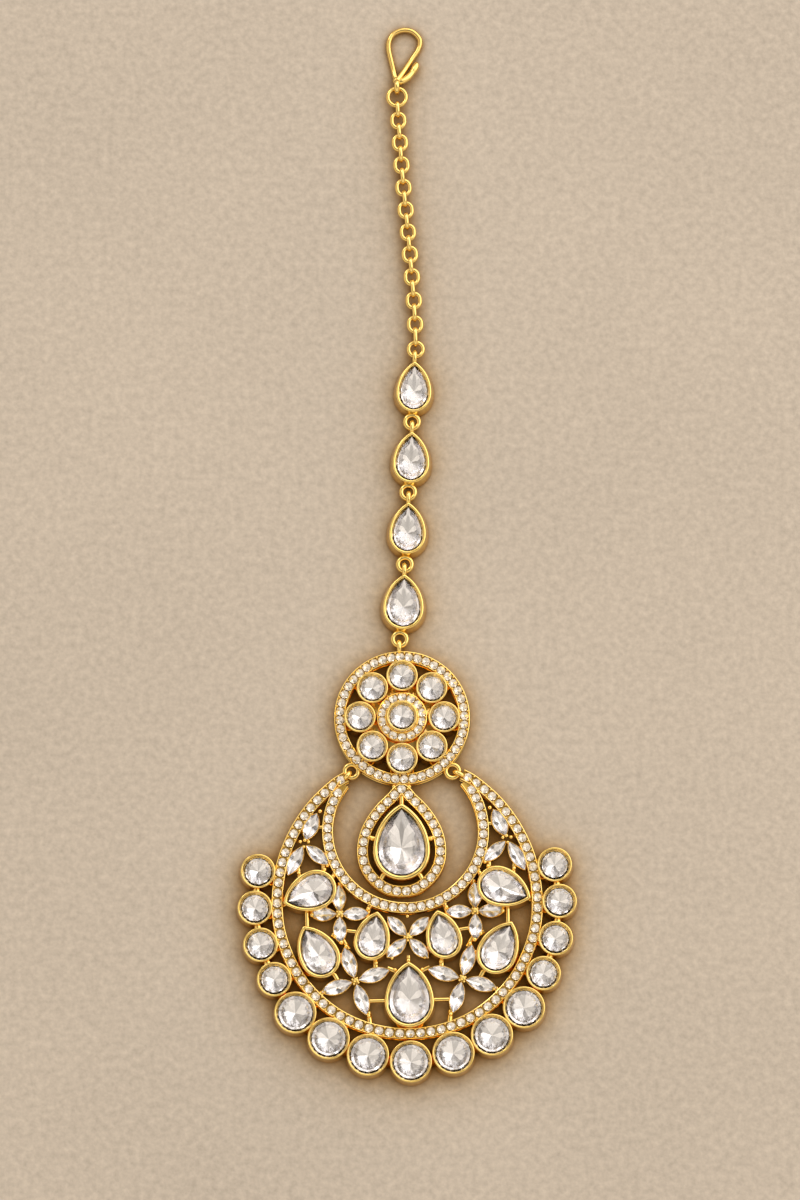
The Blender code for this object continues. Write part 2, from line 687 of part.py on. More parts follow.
def build_crescent(gold, stone):
    frame = place(*CRESCENT_CENTRE, CRESCENT_TURN)
    sweep = pi + 2 * INNER_START
    turns = [INNER_START - sweep * k / INNER_STEPS for k in range(INNER_STEPS + 1)]
    inner = [(INNER_RADIUS * cos(turn), INNER_RADIUS * sin(turn)) for turn in turns]
    outer = [(-x, y) for x, y in reversed(OUTER_PLACES[1:])] + list(OUTER_PLACES)
    shapes = [
        one_shape(add_band, outer, BAND_WIDTH, BAND_BOTTOM, BAND_TOP, frame),
        one_shape(add_band, inner, BAND_WIDTH, BAND_BOTTOM + STEP_UP, BAND_TOP + STEP_UP, frame),
    ]
    borders = [(side * x, y, rim) for x, y, rim in BORDER_PLACES for side in (-1, 1)]
    borders.append((*BORDER_BOTTOM, LARGE_RIM))
    for number, (x, y, rim) in enumerate(borders, 1):
        spot = frame @ place(x, y)
        base = round_outline(rim + BASE_FLARE)
        shapes.append(one_shape(add_cup, base, BORDER_HEIGHT, BASE_FLARE, BASE_FLARE, spot))
        girdle = round_outline(rim - RIM_WIDTH - STONE_GAP)
        cut = one_shape(add_stone, girdle, BORDER_HEIGHT, spot)
        make_object(f"border_stone_{number}", cut, stone)
    pears = []
    for x, y, direction, width, length in CRESCENT_PEARS:
        pears.append((-x, y, 180.0 - direction, width, length))
        pears.append((x, y, direction, width, length))
    pears.append(BOTTOM_PEAR)
    for number, (x, y, direction, width, length) in enumerate(pears, 1):
        spot = frame @ place(x, y, radians(direction) - pi / 2)
        base = pear_outline(width + 2 * BASE_FLARE, length + 2 * BASE_FLARE)
        shapes.append(one_shape(add_cup, base, PEAR_HEIGHT, BASE_FLARE, BASE_FLARE, spot))
        room = RIM_WIDTH + STONE_GAP
        girdle = pear_outline(width - 2 * room, length - 2 * room)
        cut = one_shape(add_stone, girdle, PEAR_HEIGHT, spot)
        make_object(f"crescent_stone_{number}", cut, stone)
    for x, y, first, distance, length, width in FLOWERS:
        flower(shapes, x, y, radians(first), distance, length, width, frame)
        flower(shapes, -x, y, pi - radians(first), distance, length, width, frame)
    x, y, first, distance, length, width = CENTRE_FLOWER
    flower(shapes, x, y, radians(first), distance, length, width, frame)
    hub_x, hub_y = TREFOIL_CENTRE
    for side in (-1, 1):
        shapes.append(one_shape(add_hub, side * hub_x, hub_y, frame))
        for x, y, length, width in TREFOIL_PETALS:
            direction = atan2(y - hub_y, side * (x - hub_x))
            shapes.append(one_shape(petal, side * x, y, direction, length, width, frame))
        for start_x, start_y, end_x, end_y, width in CRESCENT_STRUTS:
            start = (side * start_x, start_y)
            end = (side * end_x, end_y)
            shapes.append(one_shape(add_strut, start, end, width, frame))
    shapes.append(one_shape(add_strut, CENTRE_STRUT[:2], CENTRE_STRUT[2:4], CENTRE_STRUT[4], frame))
    add_tip_loops(shapes, frame)
    fused("crescent_setting", shapes, gold)


def add_tip_loops(shapes, frame):
    """The wire loops that hold the crescent's tips to the medallion's side rings."""
    for side in (-1, 1):
        ring_x = MEDALLION_CENTRE[0] + side * SIDE_RING_PLACE[0]
        ring_y = MEDALLION_CENTRE[1] + SIDE_RING_PLACE[1]
        tip = frame @ Vector((side * TIP_PLACE[0], TIP_PLACE[1], 0.0))
        reach = Vector((tip.x - ring_x, tip.y - ring_y))
        near = Vector((ring_x, ring_y)) + reach.normalized() * TIP_LOOP_START
        far = Vector((tip.x, tip.y)) + reach.normalized() * TIP_LOOP_SINK
        middle = (near + far) / 2
        half_length = (far - near).length / 2
        turn = atan2(reach.y, reach.x) - pi / 2
        shapes.append(one_shape(add_bail, middle.x, middle.y, turn, half_length))


def main():
    clear_scene()
    gold = make_material("gold", GOLD, 0.22, 1.0)
    stone = make_material("stone", STONE, 0.05, 0.0)
    build_hair_hook(gold)
    build_chain(gold)
    build_pear_links(gold, stone)
    build_medallion(gold, stone)
    build_crescent(gold, stone)


main()
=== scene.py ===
from math import acos, atan2, cos, floor, hypot, pi, radians, sin

import bmesh
import bpy
from bpy.props import FloatProperty, FloatVectorProperty, IntProperty, PointerProperty
from mathutils import Euler, Matrix, Vector


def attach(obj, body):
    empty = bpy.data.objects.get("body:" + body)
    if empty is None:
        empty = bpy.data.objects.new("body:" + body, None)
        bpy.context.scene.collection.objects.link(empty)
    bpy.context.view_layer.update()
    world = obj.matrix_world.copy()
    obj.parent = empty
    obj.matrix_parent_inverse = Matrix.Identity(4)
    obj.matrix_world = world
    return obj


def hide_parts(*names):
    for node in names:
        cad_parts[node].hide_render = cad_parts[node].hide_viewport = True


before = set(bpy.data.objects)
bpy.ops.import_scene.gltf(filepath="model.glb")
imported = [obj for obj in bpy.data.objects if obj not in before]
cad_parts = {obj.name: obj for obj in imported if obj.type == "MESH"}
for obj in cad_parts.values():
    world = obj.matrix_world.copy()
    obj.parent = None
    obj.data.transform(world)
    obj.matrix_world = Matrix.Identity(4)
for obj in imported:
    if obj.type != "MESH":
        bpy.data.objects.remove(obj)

bl_info = {
    "name": "Maang tikka",
    "version": (1, 0, 0),
    "blender": (4, 5, 0),
    "location": "3D View > Sidebar > Tikka",
    "description": "Gold settings, cut stones and pave work of a forehead jewel",
    "category": "Add Mesh",
}

# Lengths in the tables are in millimetres, before the shift that centres the outline
MM = 0.001
CENTRE_SHIFT = (-0.395, -1.4)

# Heights above the table
BORDER_HEIGHT = 2.3
LINK_HEIGHT = 2.1
PEAR_HEIGHT = 2.5
ROSETTE_HEIGHT = 2.7
CENTRE_HEIGHT = 3.5
CENTRE_HALO_TOP = 2.5
DROP_HEIGHT = 2.8
BAND_BOTTOM = 0.15
BAND_TOP = 1.8
PETAL_BOTTOM = 0.3
PETAL_RIM = 1.6
STEP_UP = 0.1
WIRE_MIDDLE = 1.05
BAR_MIDDLE = 0.9
BALL_MIDDLE = 1.35
CUP_FLOOR = 0.5

# Chain: places of the rings that lie face on
CHAIN_WIRE = 0.32
LINK_HALF_WIDTH = 0.93
LINK_HALF_LENGTH = 1.1
TOP_RING_RADIUS = 1.34
LOW_RING_RADIUS = 1.06
LINK_BITE = 0.46
EDGE_LINK_TRIM = 0.13
CHAIN_PLACES = (
    # x, y
    (-1.07, 69.03),
    (-0.89, 65.43),
    (-0.65, 62.05),
    (-0.42, 58.66),
    (-0.13, 55.22),
    (0.19, 51.82),
    (0.51, 48.46),
    (0.81, 45.10),
    (1.10, 41.70),
    (1.37, 38.15),
    (1.57, 34.56),
    (1.67, 30.80),
)

# Hair hook
EYE_WIRE = 0.4
EYE_RADIUS = 0.82
EYE_PLACE = (-1.09, 70.55, 1.11)
KNOT_RADIUS = 0.68
KNOT_PLACE = (-1.02, 71.5, 1.12)
KNOT_SHAPE = (1.05, 0.85, 0.8, 1.0)
HOOK_ROUTE = (
    # x, y, z, wire radius, from the throat round the loop and back
    (-1.15, 71.55, 1.0, 0.38),
    (-1.35, 72.2, 0.7, 0.4),
    (-1.62, 73.35, 0.42, 0.4),
    (-1.97, 74.88, 0.4, 0.4),
    (-2.29, 76.42, 0.4, 0.4),
    (-2.26, 77.64, 0.4, 0.4),
    (-1.75, 78.72, 0.4, 0.4),
    (-0.79, 79.33, 0.4, 0.4),
    (0.25, 79.49, 0.4, 0.4),
    (1.28, 79.18, 0.4, 0.4),
    (2.17, 78.26, 0.4, 0.4),
    (2.31, 77.34, 0.4, 0.4),
    (1.94, 76.26, 0.4, 0.4),
    (1.13, 75.04, 0.42, 0.4),
    (0.39, 73.81, 0.6, 0.4),
    (-0.34, 72.59, 0.95, 0.4),
    (-1.0, 71.6, 1.25, 0.38),
)
TAIL_ROUTE = (
    # x, y, z, wire radius, from the throat to the leaf-shaped end
    (-0.95, 71.3, 1.3, 0.4),
    (-0.3, 71.4, 1.3, 0.46),
    (0.55, 72.0, 1.15, 0.5),
    (1.12, 72.7, 1.0, 0.44),
    (1.5, 73.3, 0.92, 0.52),
    (1.75, 73.85, 0.85, 0.5),
    (1.88, 74.3, 0.82, 0.3),
    (1.93, 74.5, 0.8, 0.06),
)

# Pear links, each leaning a little to the right
LINK_LEAN = radians(-1.8)
PEAR_LINKS = (
    # tip x, tip y, width, length, ring x, ring y
    (1.52, 28.85, 5.2, 7.65, 1.12, 19.93),
    (1.11, 18.33, 5.4, 7.7, 0.56, 9.45),
    (0.60, 7.80, 5.4, 7.7, 0.08, -1.27),
    (0.00, -2.86, 5.95, 8.2, -0.66, -12.33),
)
PEAR_BELLY = 0.375
LINK_FLARE = 0.4
LINK_RIM = 0.45
RING_RADIUS = 1.0
RING_WIRE = 0.36
BAIL_WIRE = 0.34
BAIL_HALF_HEIGHT = 0.72
BAIL_HALF_LENGTH = 0.85
BAIL_SINK = 0.15

# Medallion
MEDALLION_CENTRE = (-0.35, -24.0)
MEDALLION_RADIUS = 9.0
BAND_WIDTH = 1.58
BEAD_OFFSET = 0.55
MEDALLION_BAIL_SHIFT = -0.4
ROSETTE_COUNT = 8
ROSETTE_RADIUS = 6.05
ROSETTE_RIM = 2.28
ROSETTE_LEAN = 0.32
CENTRE_RIM = 2.25
HALO_RADIUS = 2.95
HALO_WIDTH = 1.35
HALO_BEAD_OFFSET = 0.49
BACK_PLATE = ((0.0, 0.38), (5.1, 0.38), (5.2, 0.44), (5.1, 0.5), (0.0, 0.5))
SIDE_RING_PLACE = (7.28, -7.7)
SIDE_RING_RADIUS = 0.97
RING_PAVE_COUNT = 44
RING_PAVE_TURN = radians(-2.0)
HALO_PAVE_COUNT = 14

# Drop
DROP_AXIS = -0.41
DROP_HALO_PLACES = (
    # half of the halo's middle line: x from the axis, y, from the tip to the bottom
    (0.0, -34.4),
    (1.6, -35.85),
    (3.05, -37.3),
    (4.3, -39.0),
    (5.2, -40.9),
    (5.6, -43.0),
    (5.4, -45.1),
    (4.6, -46.75),
    (3.3, -48.1),
    (1.75, -49.0),
    (0.0, -49.25),
)
DROP_RIM = 0.62
DROP_RIM_TOP = -36.6
DROP_RIM_WIDTH = 8.2
DROP_RIM_LENGTH = 11.15
DROP_PAVE_COUNT = 29
DROP_BARS = (
    # x from the axis, y of the start, x, y of the end, radius
    (0.0, -35.0, 0.0, -36.9, 0.36),
    (3.7, -41.6, 4.9, -41.3, 0.32),
    (2.3, -46.2, 3.0, -47.5, 0.36),
)
DROP_BAR_MIDDLE = 1.3
DROP_PLATE = (0.0, -33.0, 0.0, -34.4, 0.75)
DROP_PLATE_MIDDLE = 0.8
DROP_PLATE_SHAPE = (1.0, 1.0, 0.55, 1.0)
DROP_BALLS = (
    # x from the axis, y, radius
    (4.24, -41.6, 0.36),
    (1.12, -34.0, 0.32),
)

# Crescent, in its own frame: middle of the inner band. Rows off its axis stand on both sides
CRESCENT_CENTRE = (0.151, -40.477)
CRESCENT_TURN = radians(1.3)
INNER_RADIUS = 11.2
INNER_START = radians(39)
INNER_PAVE_COUNT = 36
OUTER_PAVE_COUNT = 69
INNER_PAVE_START = 1.6
OUTER_PAVE_START = 0.9
OUTER_PLACES = (
    # half of the outer band's middle line, from the bottom to the tip
    (0.0, -29.32),
    (3.7, -28.95),
    (7.2, -27.9),
    (10.4, -26.2),
    (13.2, -23.85),
    (15.5, -21.0),
    (17.2, -17.7),
    (18.3, -14.2),
    (18.65, -10.6),
    (18.35, -6.9),
    (17.5, -3.3),
    (15.75, 0.55),
    (13.3, 4.0),
    (10.2, 6.9),
    (8.35, 8.05),
)
SMALL_RIM = 2.5
LARGE_RIM = 3.03
BORDER_PLACES = (
    # x, y, rim radius
    (21.27, -5.45, SMALL_RIM),
    (21.82, -10.76, SMALL_RIM),
    (21.12, -16.12, SMALL_RIM),
    (19.24, -21.13, SMALL_RIM),
    (16.32, -25.99, LARGE_RIM),
    (11.65, -29.81, LARGE_RIM),
    (6.10, -32.29, LARGE_RIM),
    (0.0, -33.38, LARGE_RIM),
)
CRESCENT_PEARS = (
    # x, y of the middle, direction of the tip in degrees, width, length
    (14.0, -8.72, -22.0, 5.8, 8.1),
    (13.1, -17.2, 63.0, 5.8, 8.2),
    (5.02, -15.2, 102.0, 5.2, 7.2),
    (0.0, -23.75, 90.0, 7.1, 9.5),
)
PEAR_RIM = 0.5
PEAR_LEAN = 0.26
FLOWERS = (
    # x, y of the middle, direction of the first petal in degrees, distance, length, width
    (9.71, -11.84, 0.0, 2.3, 3.9, 2.05),
    (7.65, -21.58, -17.0, 2.8, 4.8, 2.2),
    (0.0, -15.42, 43.0, 2.25, 4.0, 1.95),
)
TREFOIL_CENTRE = (14.61, -1.51)
TREFOIL_PETALS = (
    # x, y of the middle, length, width
    (13.54, 0.92, 4.4, 2.3),
    (15.92, -3.98, 4.9, 2.1),
    (12.74, -3.23, 4.4, 2.0),
)
CRESCENT_BARS = (
    # x, y of the start, x, y of the end, radius
    (14.4, -11.2, 14.4, -13.9, 0.36),
    (15.55, -4.9, 15.3, -6.6, 0.36),
    (11.9, -3.9, 11.9, -6.2, 0.36),
    (10.2, -5.6, 10.9, -7.0, 0.36),
    (8.9, -14.15, 7.1, -14.4, 0.32),
    (4.75, -18.2, 4.7, -20.1, 0.42),
    (10.9, -20.0, 10.2, -21.3, 0.40),
    (10.0, -15.2, 10.9, -14.7, 0.34),
    (9.0, -17.6, 10.2, -17.7, 0.34),
    (9.6, -14.9, 8.5, -16.9, 0.34),
    (7.5, -17.6, 6.5, -17.0, 0.29),
    (1.4, -20.4, 3.0, -19.7, 0.36),
    (1.8, -13.8, 2.9, -13.6, 0.30),
    (1.8, -17.1, 3.1, -16.9, 0.30),
    (3.0, -24.4, 5.9, -24.4, 0.32),
    (9.6, -7.2, 9.2, -9.3, 0.36),
    (5.9, -12.4, 5.3, -10.5, 0.40),
    (12.4, -22.9, 12.9, -24.0, 0.40),
    (5.9, -26.0, 5.6, -28.2, 0.40),
    (12.7, 0.9, 11.6, 0.95, 0.29),
    (0.0, -18.0, 0.0, -19.3, 0.34),
)
CRESCENT_BALLS = (
    # x, y, radius
    (12.2, 3.15, 0.34),
    (15.15, -1.2, 0.3),
    (13.95, -1.25, 0.28),
    (14.5, -1.0, 0.3),
    (14.65, -1.95, 0.26),
    (15.45, -5.75, 0.33),
    (11.3, -4.75, 0.3),
    (11.75, -5.35, 0.33),
    (10.5, -6.3, 0.36),
    (13.65, -11.85, 0.36),
    (5.6, -11.15, 0.36),
    (10.45, -15.1, 0.3),
    (9.55, -15.95, 0.36),
    (8.85, -16.5, 0.33),
    (7.1, -17.4, 0.26),
    (4.65, -19.0, 0.34),
    (12.05, -23.1, 0.3),
    (5.85, -26.6, 0.33),
    (2.35, -18.35, 0.28),
    (1.95, -20.05, 0.3),
    (0.0, -18.75, 0.34),
    (0.0, -12.35, 0.3),
)
TIP_PLACE = (8.5, 7.85)
TIP_LOOP_START = 0.28
TIP_LOOP_SINK = 0.1
BORDER_PLATE_RADIUS = 0.5
BORDER_PLATE_MIDDLE = 1.5
BORDER_PLATE_SHAPE = (1.0, 1.0, 0.7, 1.0)
FLOWER_HUB = (
    # radius, z
    (0.0, 0.6),
    (0.3, 0.6),
    (0.46, 1.2),
    (0.5, 1.55),
    (0.42, 1.68),
    (0.28, 1.7),
    (0.16, 1.6),
    (0.0, 1.45),
)
HUB_REACH = 0.5
HUB_BALL = 0.17

# Stones: how bright each back facet is in turn round the stone, a painted reflection, the tint of the small
# stones' backs, a painted reflection of the gold round them, how far the backs bend outwards, and how far
# each stone is turned against the one before, in radians
FACET_LAYER = "facet_painted_reflection"
FACET_PAINTED_REFLECTIONS = (1.0, 0.74, 0.94, 0.67, 1.0, 0.84, 0.73)
# Painted reflection of the surrounding gold on the small stones' backs
PAVE_GOLD_REFLECTION = (1.0, 0.95, 0.84)
BACK_STEP = 0.03
STONE_TURN = 0.39
PAVE_TURN = 0.9
# Corners of a round stone, how far stones reach into their seats in millimetres, and how far the
# lowest point of a pear stone lies from its widest towards its tip, against its length
ROUND_SIDES = 20
SEAT_BITE = 0.05
PEAR_SEAT_BITE = 0.06
CULET_RISE = 0.05

# Surface values of the gold between the pave stones, whose painted shade darkens it low in the channel
PAVE_WORK = {"Painted Shade Bottom": 0.0011, "Wave Size": 1300.0, "Grain Height": 0.000003}

# Stage, in metres except for the middle of the view
FLOOR_SIZE = 3.0
FLOOR_LEVEL = -0.0001
# Painted shade and painted warm bounce light on the floor, darker and warmer where it is less open
SHADE_STOPS = (
    # openness of the floor, tint of its painted shade and painted warm bounce light
    (0.1, (0.45, 0.27, 0.055)),
    (0.45, (0.71, 0.49, 0.22)),
    (0.75, (0.89, 0.79, 0.64)),
    (1.0, (1.0, 1.0, 1.0)),
)
TENT_COLOUR = (1.0, 0.92, 0.8)
TENT_STOPS = (
    # height from the horizon to overhead, brightness
    (0.0, 0.2),
    (0.12, 0.45),
    (0.26, 1.2),
    (0.5, 1.3),
    (0.74, 1.08),
    (0.86, 0.8),
    (0.94, 0.4),
    (1.0, 0.25),
)
BRIGHT_SIDE = (0.5, 0.86, 0.0)
KEY_PLACE = (0.62, 0.62, 0.8)
KEY_SIZE = 1.9
GLINT_PLACE = (-0.55, 0.75, 0.75)
GLINT_SIZE = 0.35
LAMP_COLOUR = (0.985, 0.99, 1.0)
VIEW_MIDDLE = (-1.034, -7.712, 0.0)
VIEW_HEIGHT = 0.174
SENSOR_HEIGHT = 36.0


# Settings

COLOUR = {"subtype": "COLOR", "size": 3, "min": 0, "max": 1}


class GoldSettings(bpy.types.PropertyGroup):
    """The plated metal"""

    colour: FloatVectorProperty(
        name="Gold", description="Colour of the polished gold plate", default=(0.92, 0.64, 0.165), **COLOUR
    )
    # Painted shade: the gold takes this darker colour low down between the settings
    painted_shade_colour: FloatVectorProperty(
        name="Painted shade gold",
        description="Colour of the plate low down between the settings",
        default=(0.68, 0.41, 0.085),
        **COLOUR,
    )
    roughness: FloatProperty(
        name="Roughness", description="How far the polish is from a mirror", min=0, max=1, default=0.11
    )
    lacquer: FloatProperty(
        name="Lacquer", description="Share of clear lacquer over the gold", min=0, max=1, default=0.7
    )
    ripple: FloatProperty(
        name="Hand polish",
        description="Height of the soft waves that polishing leaves",
        unit="LENGTH",
        min=0,
        default=0.0000004,
    )


class StoneSettings(bpy.types.PropertyGroup):
    """The cut stones"""

    foil_colour: FloatVectorProperty(
        name="Foil",
        description="Colour of the silvered back of each stone",
        default=(0.94, 0.92, 0.93),
        **COLOUR,
    )
    foil_roughness: FloatProperty(
        name="Foil roughness", description="How far the foil is from a mirror", min=0, max=1, default=0.1
    )
    bend: FloatProperty(
        name="Refraction", description="Index of refraction of the stones", min=1, max=3, default=1.5
    )
    table_share: FloatProperty(
        name="Table", description="Width of the flat table against the girdle", min=0.2, max=0.9, default=0.64
    )
    recess: FloatProperty(
        name="Recess", description="Depth of the girdle below the rim in millimetres", min=0, default=0.55
    )
    crown: FloatProperty(
        name="Crown", description="Height of the table above the girdle in millimetres", min=0, default=0.34
    )
    depth: FloatProperty(
        name="Depth",
        description="Depth of a round stone's back against half its width",
        min=0.05,
        default=0.33,
    )
    pear_depth: FloatProperty(
        name="Pear depth",
        description="Depth of a pear stone's back against half its width",
        min=0.05,
        default=0.36,
    )


class SettingSizes(bpy.types.PropertyGroup):
    """Bezels, bands and beads"""

    rim: FloatProperty(
        name="Rim", description="Width of a bezel's rounded rim in millimetres", min=0.1, default=0.3
    )
    lean: FloatProperty(
        name="Lean", description="How far a bezel's inner wall leans in, in millimetres", min=0, default=0.38
    )
    flare: FloatProperty(
        name="Flare", description="How far a bezel's foot stands out, in millimetres", min=0, default=0.25
    )
    bead: FloatProperty(
        name="Bead",
        description="Radius of the beads that hold the pave stones in millimetres",
        min=0,
        default=0.16,
    )
    pave: FloatProperty(
        name="Pave stone", description="Radius of a pave stone in millimetres", min=0, default=0.62
    )
    turns: IntProperty(
        name="Turns", description="Steps round a round bezel", min=12, max=96, default=48
    )


class StudioSettings(bpy.types.PropertyGroup):
    """Floor, light and camera"""

    floor_colour: FloatVectorProperty(
        name="Floor", description="Colour of the pale floor", default=(0.505, 0.431, 0.355), **COLOUR
    )
    sky: FloatProperty(name="Sky", description="Strength of the light tent", min=0, default=0.84)
    key: FloatProperty(
        name="Key", description="Watts of the wide lamp at the upper right", min=0, default=11.0
    )
    glint: FloatProperty(
        name="Glint", description="Watts of the small lamp that draws the highlights", min=0, default=1.2
    )
    elevation: FloatProperty(
        name="Elevation",
        description="Height of the camera above the horizon",
        subtype="ANGLE",
        default=radians(78.5),
    )
    distance: FloatProperty(
        name="Distance", description="Camera to the middle of the view", unit="LENGTH", default=0.9
    )


# Outlines: the pear's and the marquise's give the points of a closed line, moved in by an inset


def arc(x, y, radius, first, last, steps):
    """Points of an arc round x, y, from its first turn to its last."""
    turns = [first + (last - first) * k / steps for k in range(steps + 1)]
    return [Vector((x + radius * cos(turn), y + radius * sin(turn))) for turn in turns]


def circle_line(x, y, radius, steps, start=0.0):
    """A closed line, clockwise from the top."""
    return arc(x, y, radius, pi / 2 - start, -pi * 1.5 - start, steps)[:-1]


def pear_outline(width, length, count):
    """A half ellipse below and two arcs that meet at the tip above, around the middle of its length."""
    half = width / 2
    belly = PEAR_BELLY * length
    rise = length - belly
    flank = (half * half + rise * rise) / (2 * half)
    widest = belly - length / 2
    flank_steps = round(count * 0.28)
    low_steps = count // 2 - flank_steps

    def at(inset):
        reach = acos((flank - half) / (flank - inset))
        side = arc(half - flank, widest, flank - inset, reach, 0.0, flank_steps)[:-1]
        right = [(max(x, 0.0), y) for x, y in side]
        for k in range(low_steps):
            turn = pi / 2 * k / low_steps
            right.append(((half - inset) * cos(turn), widest - (belly - inset) * sin(turn)))
        left = [(-x, y) for x, y in reversed(right[1:])]
        return right + [(0.0, widest - belly + inset)] + left

    return at


def marquise_outline(width, length, count):
    """Two equal arcs that meet in points at both ends."""
    half = width / 2
    reach = length / 2
    radius = (half * half + reach * reach) / (2 * half)
    steps = count // 2

    def at(inset):
        spread = acos((radius - half) / (radius - inset))
        side = arc(half - radius, 0.0, radius - inset, spread, -spread, steps)[:-1]
        right = [(max(x, 0.0), y) for x, y in side]
        return right + [(-x, -y) for x, y in right]

    return at


def point_at(line, k, closed=False):
    """Point k of a line, which goes round or stops at its ends."""
    return line[k % len(line) if closed else min(max(k, 0), len(line) - 1)]


def sides_of(x):
    """Left and right of the axis, or once for what stands on it."""
    return (-1, 1) if x else (1,)


def mirror_turn(turn, side):
    return turn if side > 0 else pi - turn


def smooth_line(points, steps, closed=False):
    """A smooth line through the points, with steps between each pair."""
    spots = [Vector(point) for point in points]
    line = []
    for k in range(len(spots) if closed else len(spots) - 1):
        a, b, c, d = (point_at(spots, k + shift, closed) for shift in (-1, 0, 1, 2))
        bend, twist = 2 * a - 5 * b + 4 * c - d, 3 * b - 3 * c + d - a
        for step in range(steps):
            t = step / steps
            line.append(0.5 * (2 * b + (c - a) * t + bend * t * t + twist * t**3))
    return line if closed else line + [spots[-1]]


# Shapes in bmesh


def place(x, y, turn=0.0, z=0.0):
    return Matrix.Translation((x, y, z)) @ Matrix.Rotation(turn, 4, "Z")


def put(target, mesh, matrix):
    """Adds a placed copy of a mesh to a shape."""
    copy = mesh.copy()
    copy.transform(matrix)
    target.from_mesh(copy)
    bpy.data.meshes.remove(copy)


def as_mesh(shape):
    mesh = bpy.data.meshes.new("part_shape")
    shape.to_mesh(mesh)
    shape.free()
    return mesh


def join(target, shape, matrix=None):
    """Adds a shape, turned outwards, to the piece that it belongs to."""
    bmesh.ops.recalc_face_normals(shape, faces=shape.faces)
    mesh = as_mesh(shape)
    put(target, mesh, matrix or Matrix())
    bpy.data.meshes.remove(mesh)


def sweep(rings, closed=False):
    """Extrudes a closed loop through a list of rings of points."""
    shape = bmesh.new()
    verts = [shape.verts.new(point) for point in rings[0]]
    count = len(verts)
    edges = [shape.edges.new((verts[k], verts[(k + 1) % count])) for k in range(count)]
    first = verts
    for ring in rings[1:] + (rings[:1] if closed else []):
        grown = bmesh.ops.extrude_edge_only(shape, edges=edges)["geom"]
        fresh = {part for part in grown if isinstance(part, bmesh.types.BMVert)}
        after = []
        for vert in verts:
            after.append(next(e.other_vert(vert) for e in vert.link_edges if e.other_vert(vert) in fresh))
        for vert, point in zip(after, ring):
            vert.co = point
        verts = after
        edges = [shape.edges.get((verts[k], verts[(k + 1) % count])) for k in range(count)]
    if closed:
        bmesh.ops.remove_doubles(shape, verts=first + verts, dist=0.0001)
    else:
        shape.faces.new(first)
        shape.faces.new(verts)
    return shape


def spin_round(shape, geom, steps):
    """Spins edges all the way round Z."""
    bmesh.ops.spin(
        shape,
        geom=geom,
        axis=(0.0, 0.0, 1.0),
        cent=(0.0, 0.0, 0.0),
        angle=2 * pi,
        steps=steps,
        use_merge=True,
    )


def lathe(profile, steps):
    """Spins a profile of (radius, z) that starts and ends on the axis."""
    shape = bmesh.new()
    verts = [shape.verts.new((radius, 0.0, z)) for radius, z in profile]
    edges = [shape.edges.new(pair) for pair in zip(verts, verts[1:])]
    spin_round(shape, verts + edges, steps)
    bmesh.ops.remove_doubles(shape, verts=shape.verts, dist=0.0001)
    return shape


def cup_profile(height, rim, lean, flare):
    """Inset and height of a bezel's wall, from its foot over the rounded rim down to the seat."""
    seat = rim + lean
    swell = min(rim * 0.5, 0.26)
    turns = [pi * k / 8 for k in range(9)]
    arc = [(rim / 2 * (1 - cos(turn)), height - swell * (1 - sin(turn))) for turn in turns]
    return [
        (0.1 - flare, 0.0),
        (-flare, 0.12),
        (-flare * 0.92, height * 0.26),
        (-flare * 0.5, height * 0.5),
        (-flare * 0.14, height * 0.72),
        *arc,
        (seat, height - 0.66),
        (seat + 0.04, CUP_FLOOR),
    ]


def add_cup(target, outline, profile, matrix):
    """A cup whose wall follows an outline, moved in and raised by its profile."""
    rings = [[(x, y, z) for x, y in outline(inset)] for inset, z in profile]
    join(target, sweep(rings), matrix)


def add_petal_cup(target, outline, matrix):
    """The thin wall round a marquise stone."""
    profile = [
        (0.06, PETAL_BOTTOM),
        (0.0, PETAL_BOTTOM + 0.1),
        (-0.02, PETAL_RIM - 0.25),
        (0.0, PETAL_RIM - 0.05),
        (0.05, PETAL_RIM),
        (0.1, PETAL_RIM - 0.03),
        (0.14, PETAL_RIM - 0.14),
        (0.2, PETAL_RIM - 0.4),
        (0.24, PETAL_BOTTOM + 0.15),
    ]
    add_cup(target, outline, profile, matrix)


def add_ring(target, radius, wire, matrix, stretch=0.0, steps=40, sides=14):
    """A ring of round wire around Z, its halves drawn apart along Y by the stretch."""
    shape = bmesh.new()
    spot = Matrix.Translation((radius, 0.0, 0.0)) @ Matrix.Rotation(pi / 2, 4, "X")
    circle = bmesh.ops.create_circle(shape, segments=sides, radius=wire, matrix=spot)
    profile = list(circle["verts"])
    edges = list({edge for vert in profile for edge in vert.link_edges})
    spin_round(shape, profile + edges, steps)
    half_step = Matrix.Rotation(pi / steps, 4, "Z")
    bmesh.ops.transform(shape, matrix=half_step, verts=shape.verts)
    for vert in shape.verts:
        vert.co.y += stretch if vert.co.y > 0 else -stretch
    join(target, shape, matrix)


def add_bail(target, x, y, turn, half_length):
    """An upright loop of wire, seen on edge from above."""
    upright = Matrix.Rotation(pi / 2, 4, "Y")
    spot = place(x, y, turn, WIRE_MIDDLE)
    add_ring(target, BAIL_HALF_HEIGHT, BAIL_WIRE, spot @ upright, half_length - BAIL_HALF_HEIGHT)


def add_wire(target, route, sides=18, steps=8):
    """A round wire along a smooth route of x, y, z and radius."""
    line = smooth_line(route, steps)
    rings = []
    for k, spot in enumerate(line):
        ahead = (point_at(line, k + 1) - point_at(line, k - 1)).to_3d().normalized()
        across = Vector((-ahead.y, ahead.x, 0.0)).normalized()
        above = ahead.cross(across)
        ring = []
        for side in range(sides):
            turn = 2 * pi * side / sides
            ring.append(spot.to_3d() + (across * cos(turn) + above * sin(turn)) * spot[3])
        rings.append(ring)
    join(target, sweep(rings))


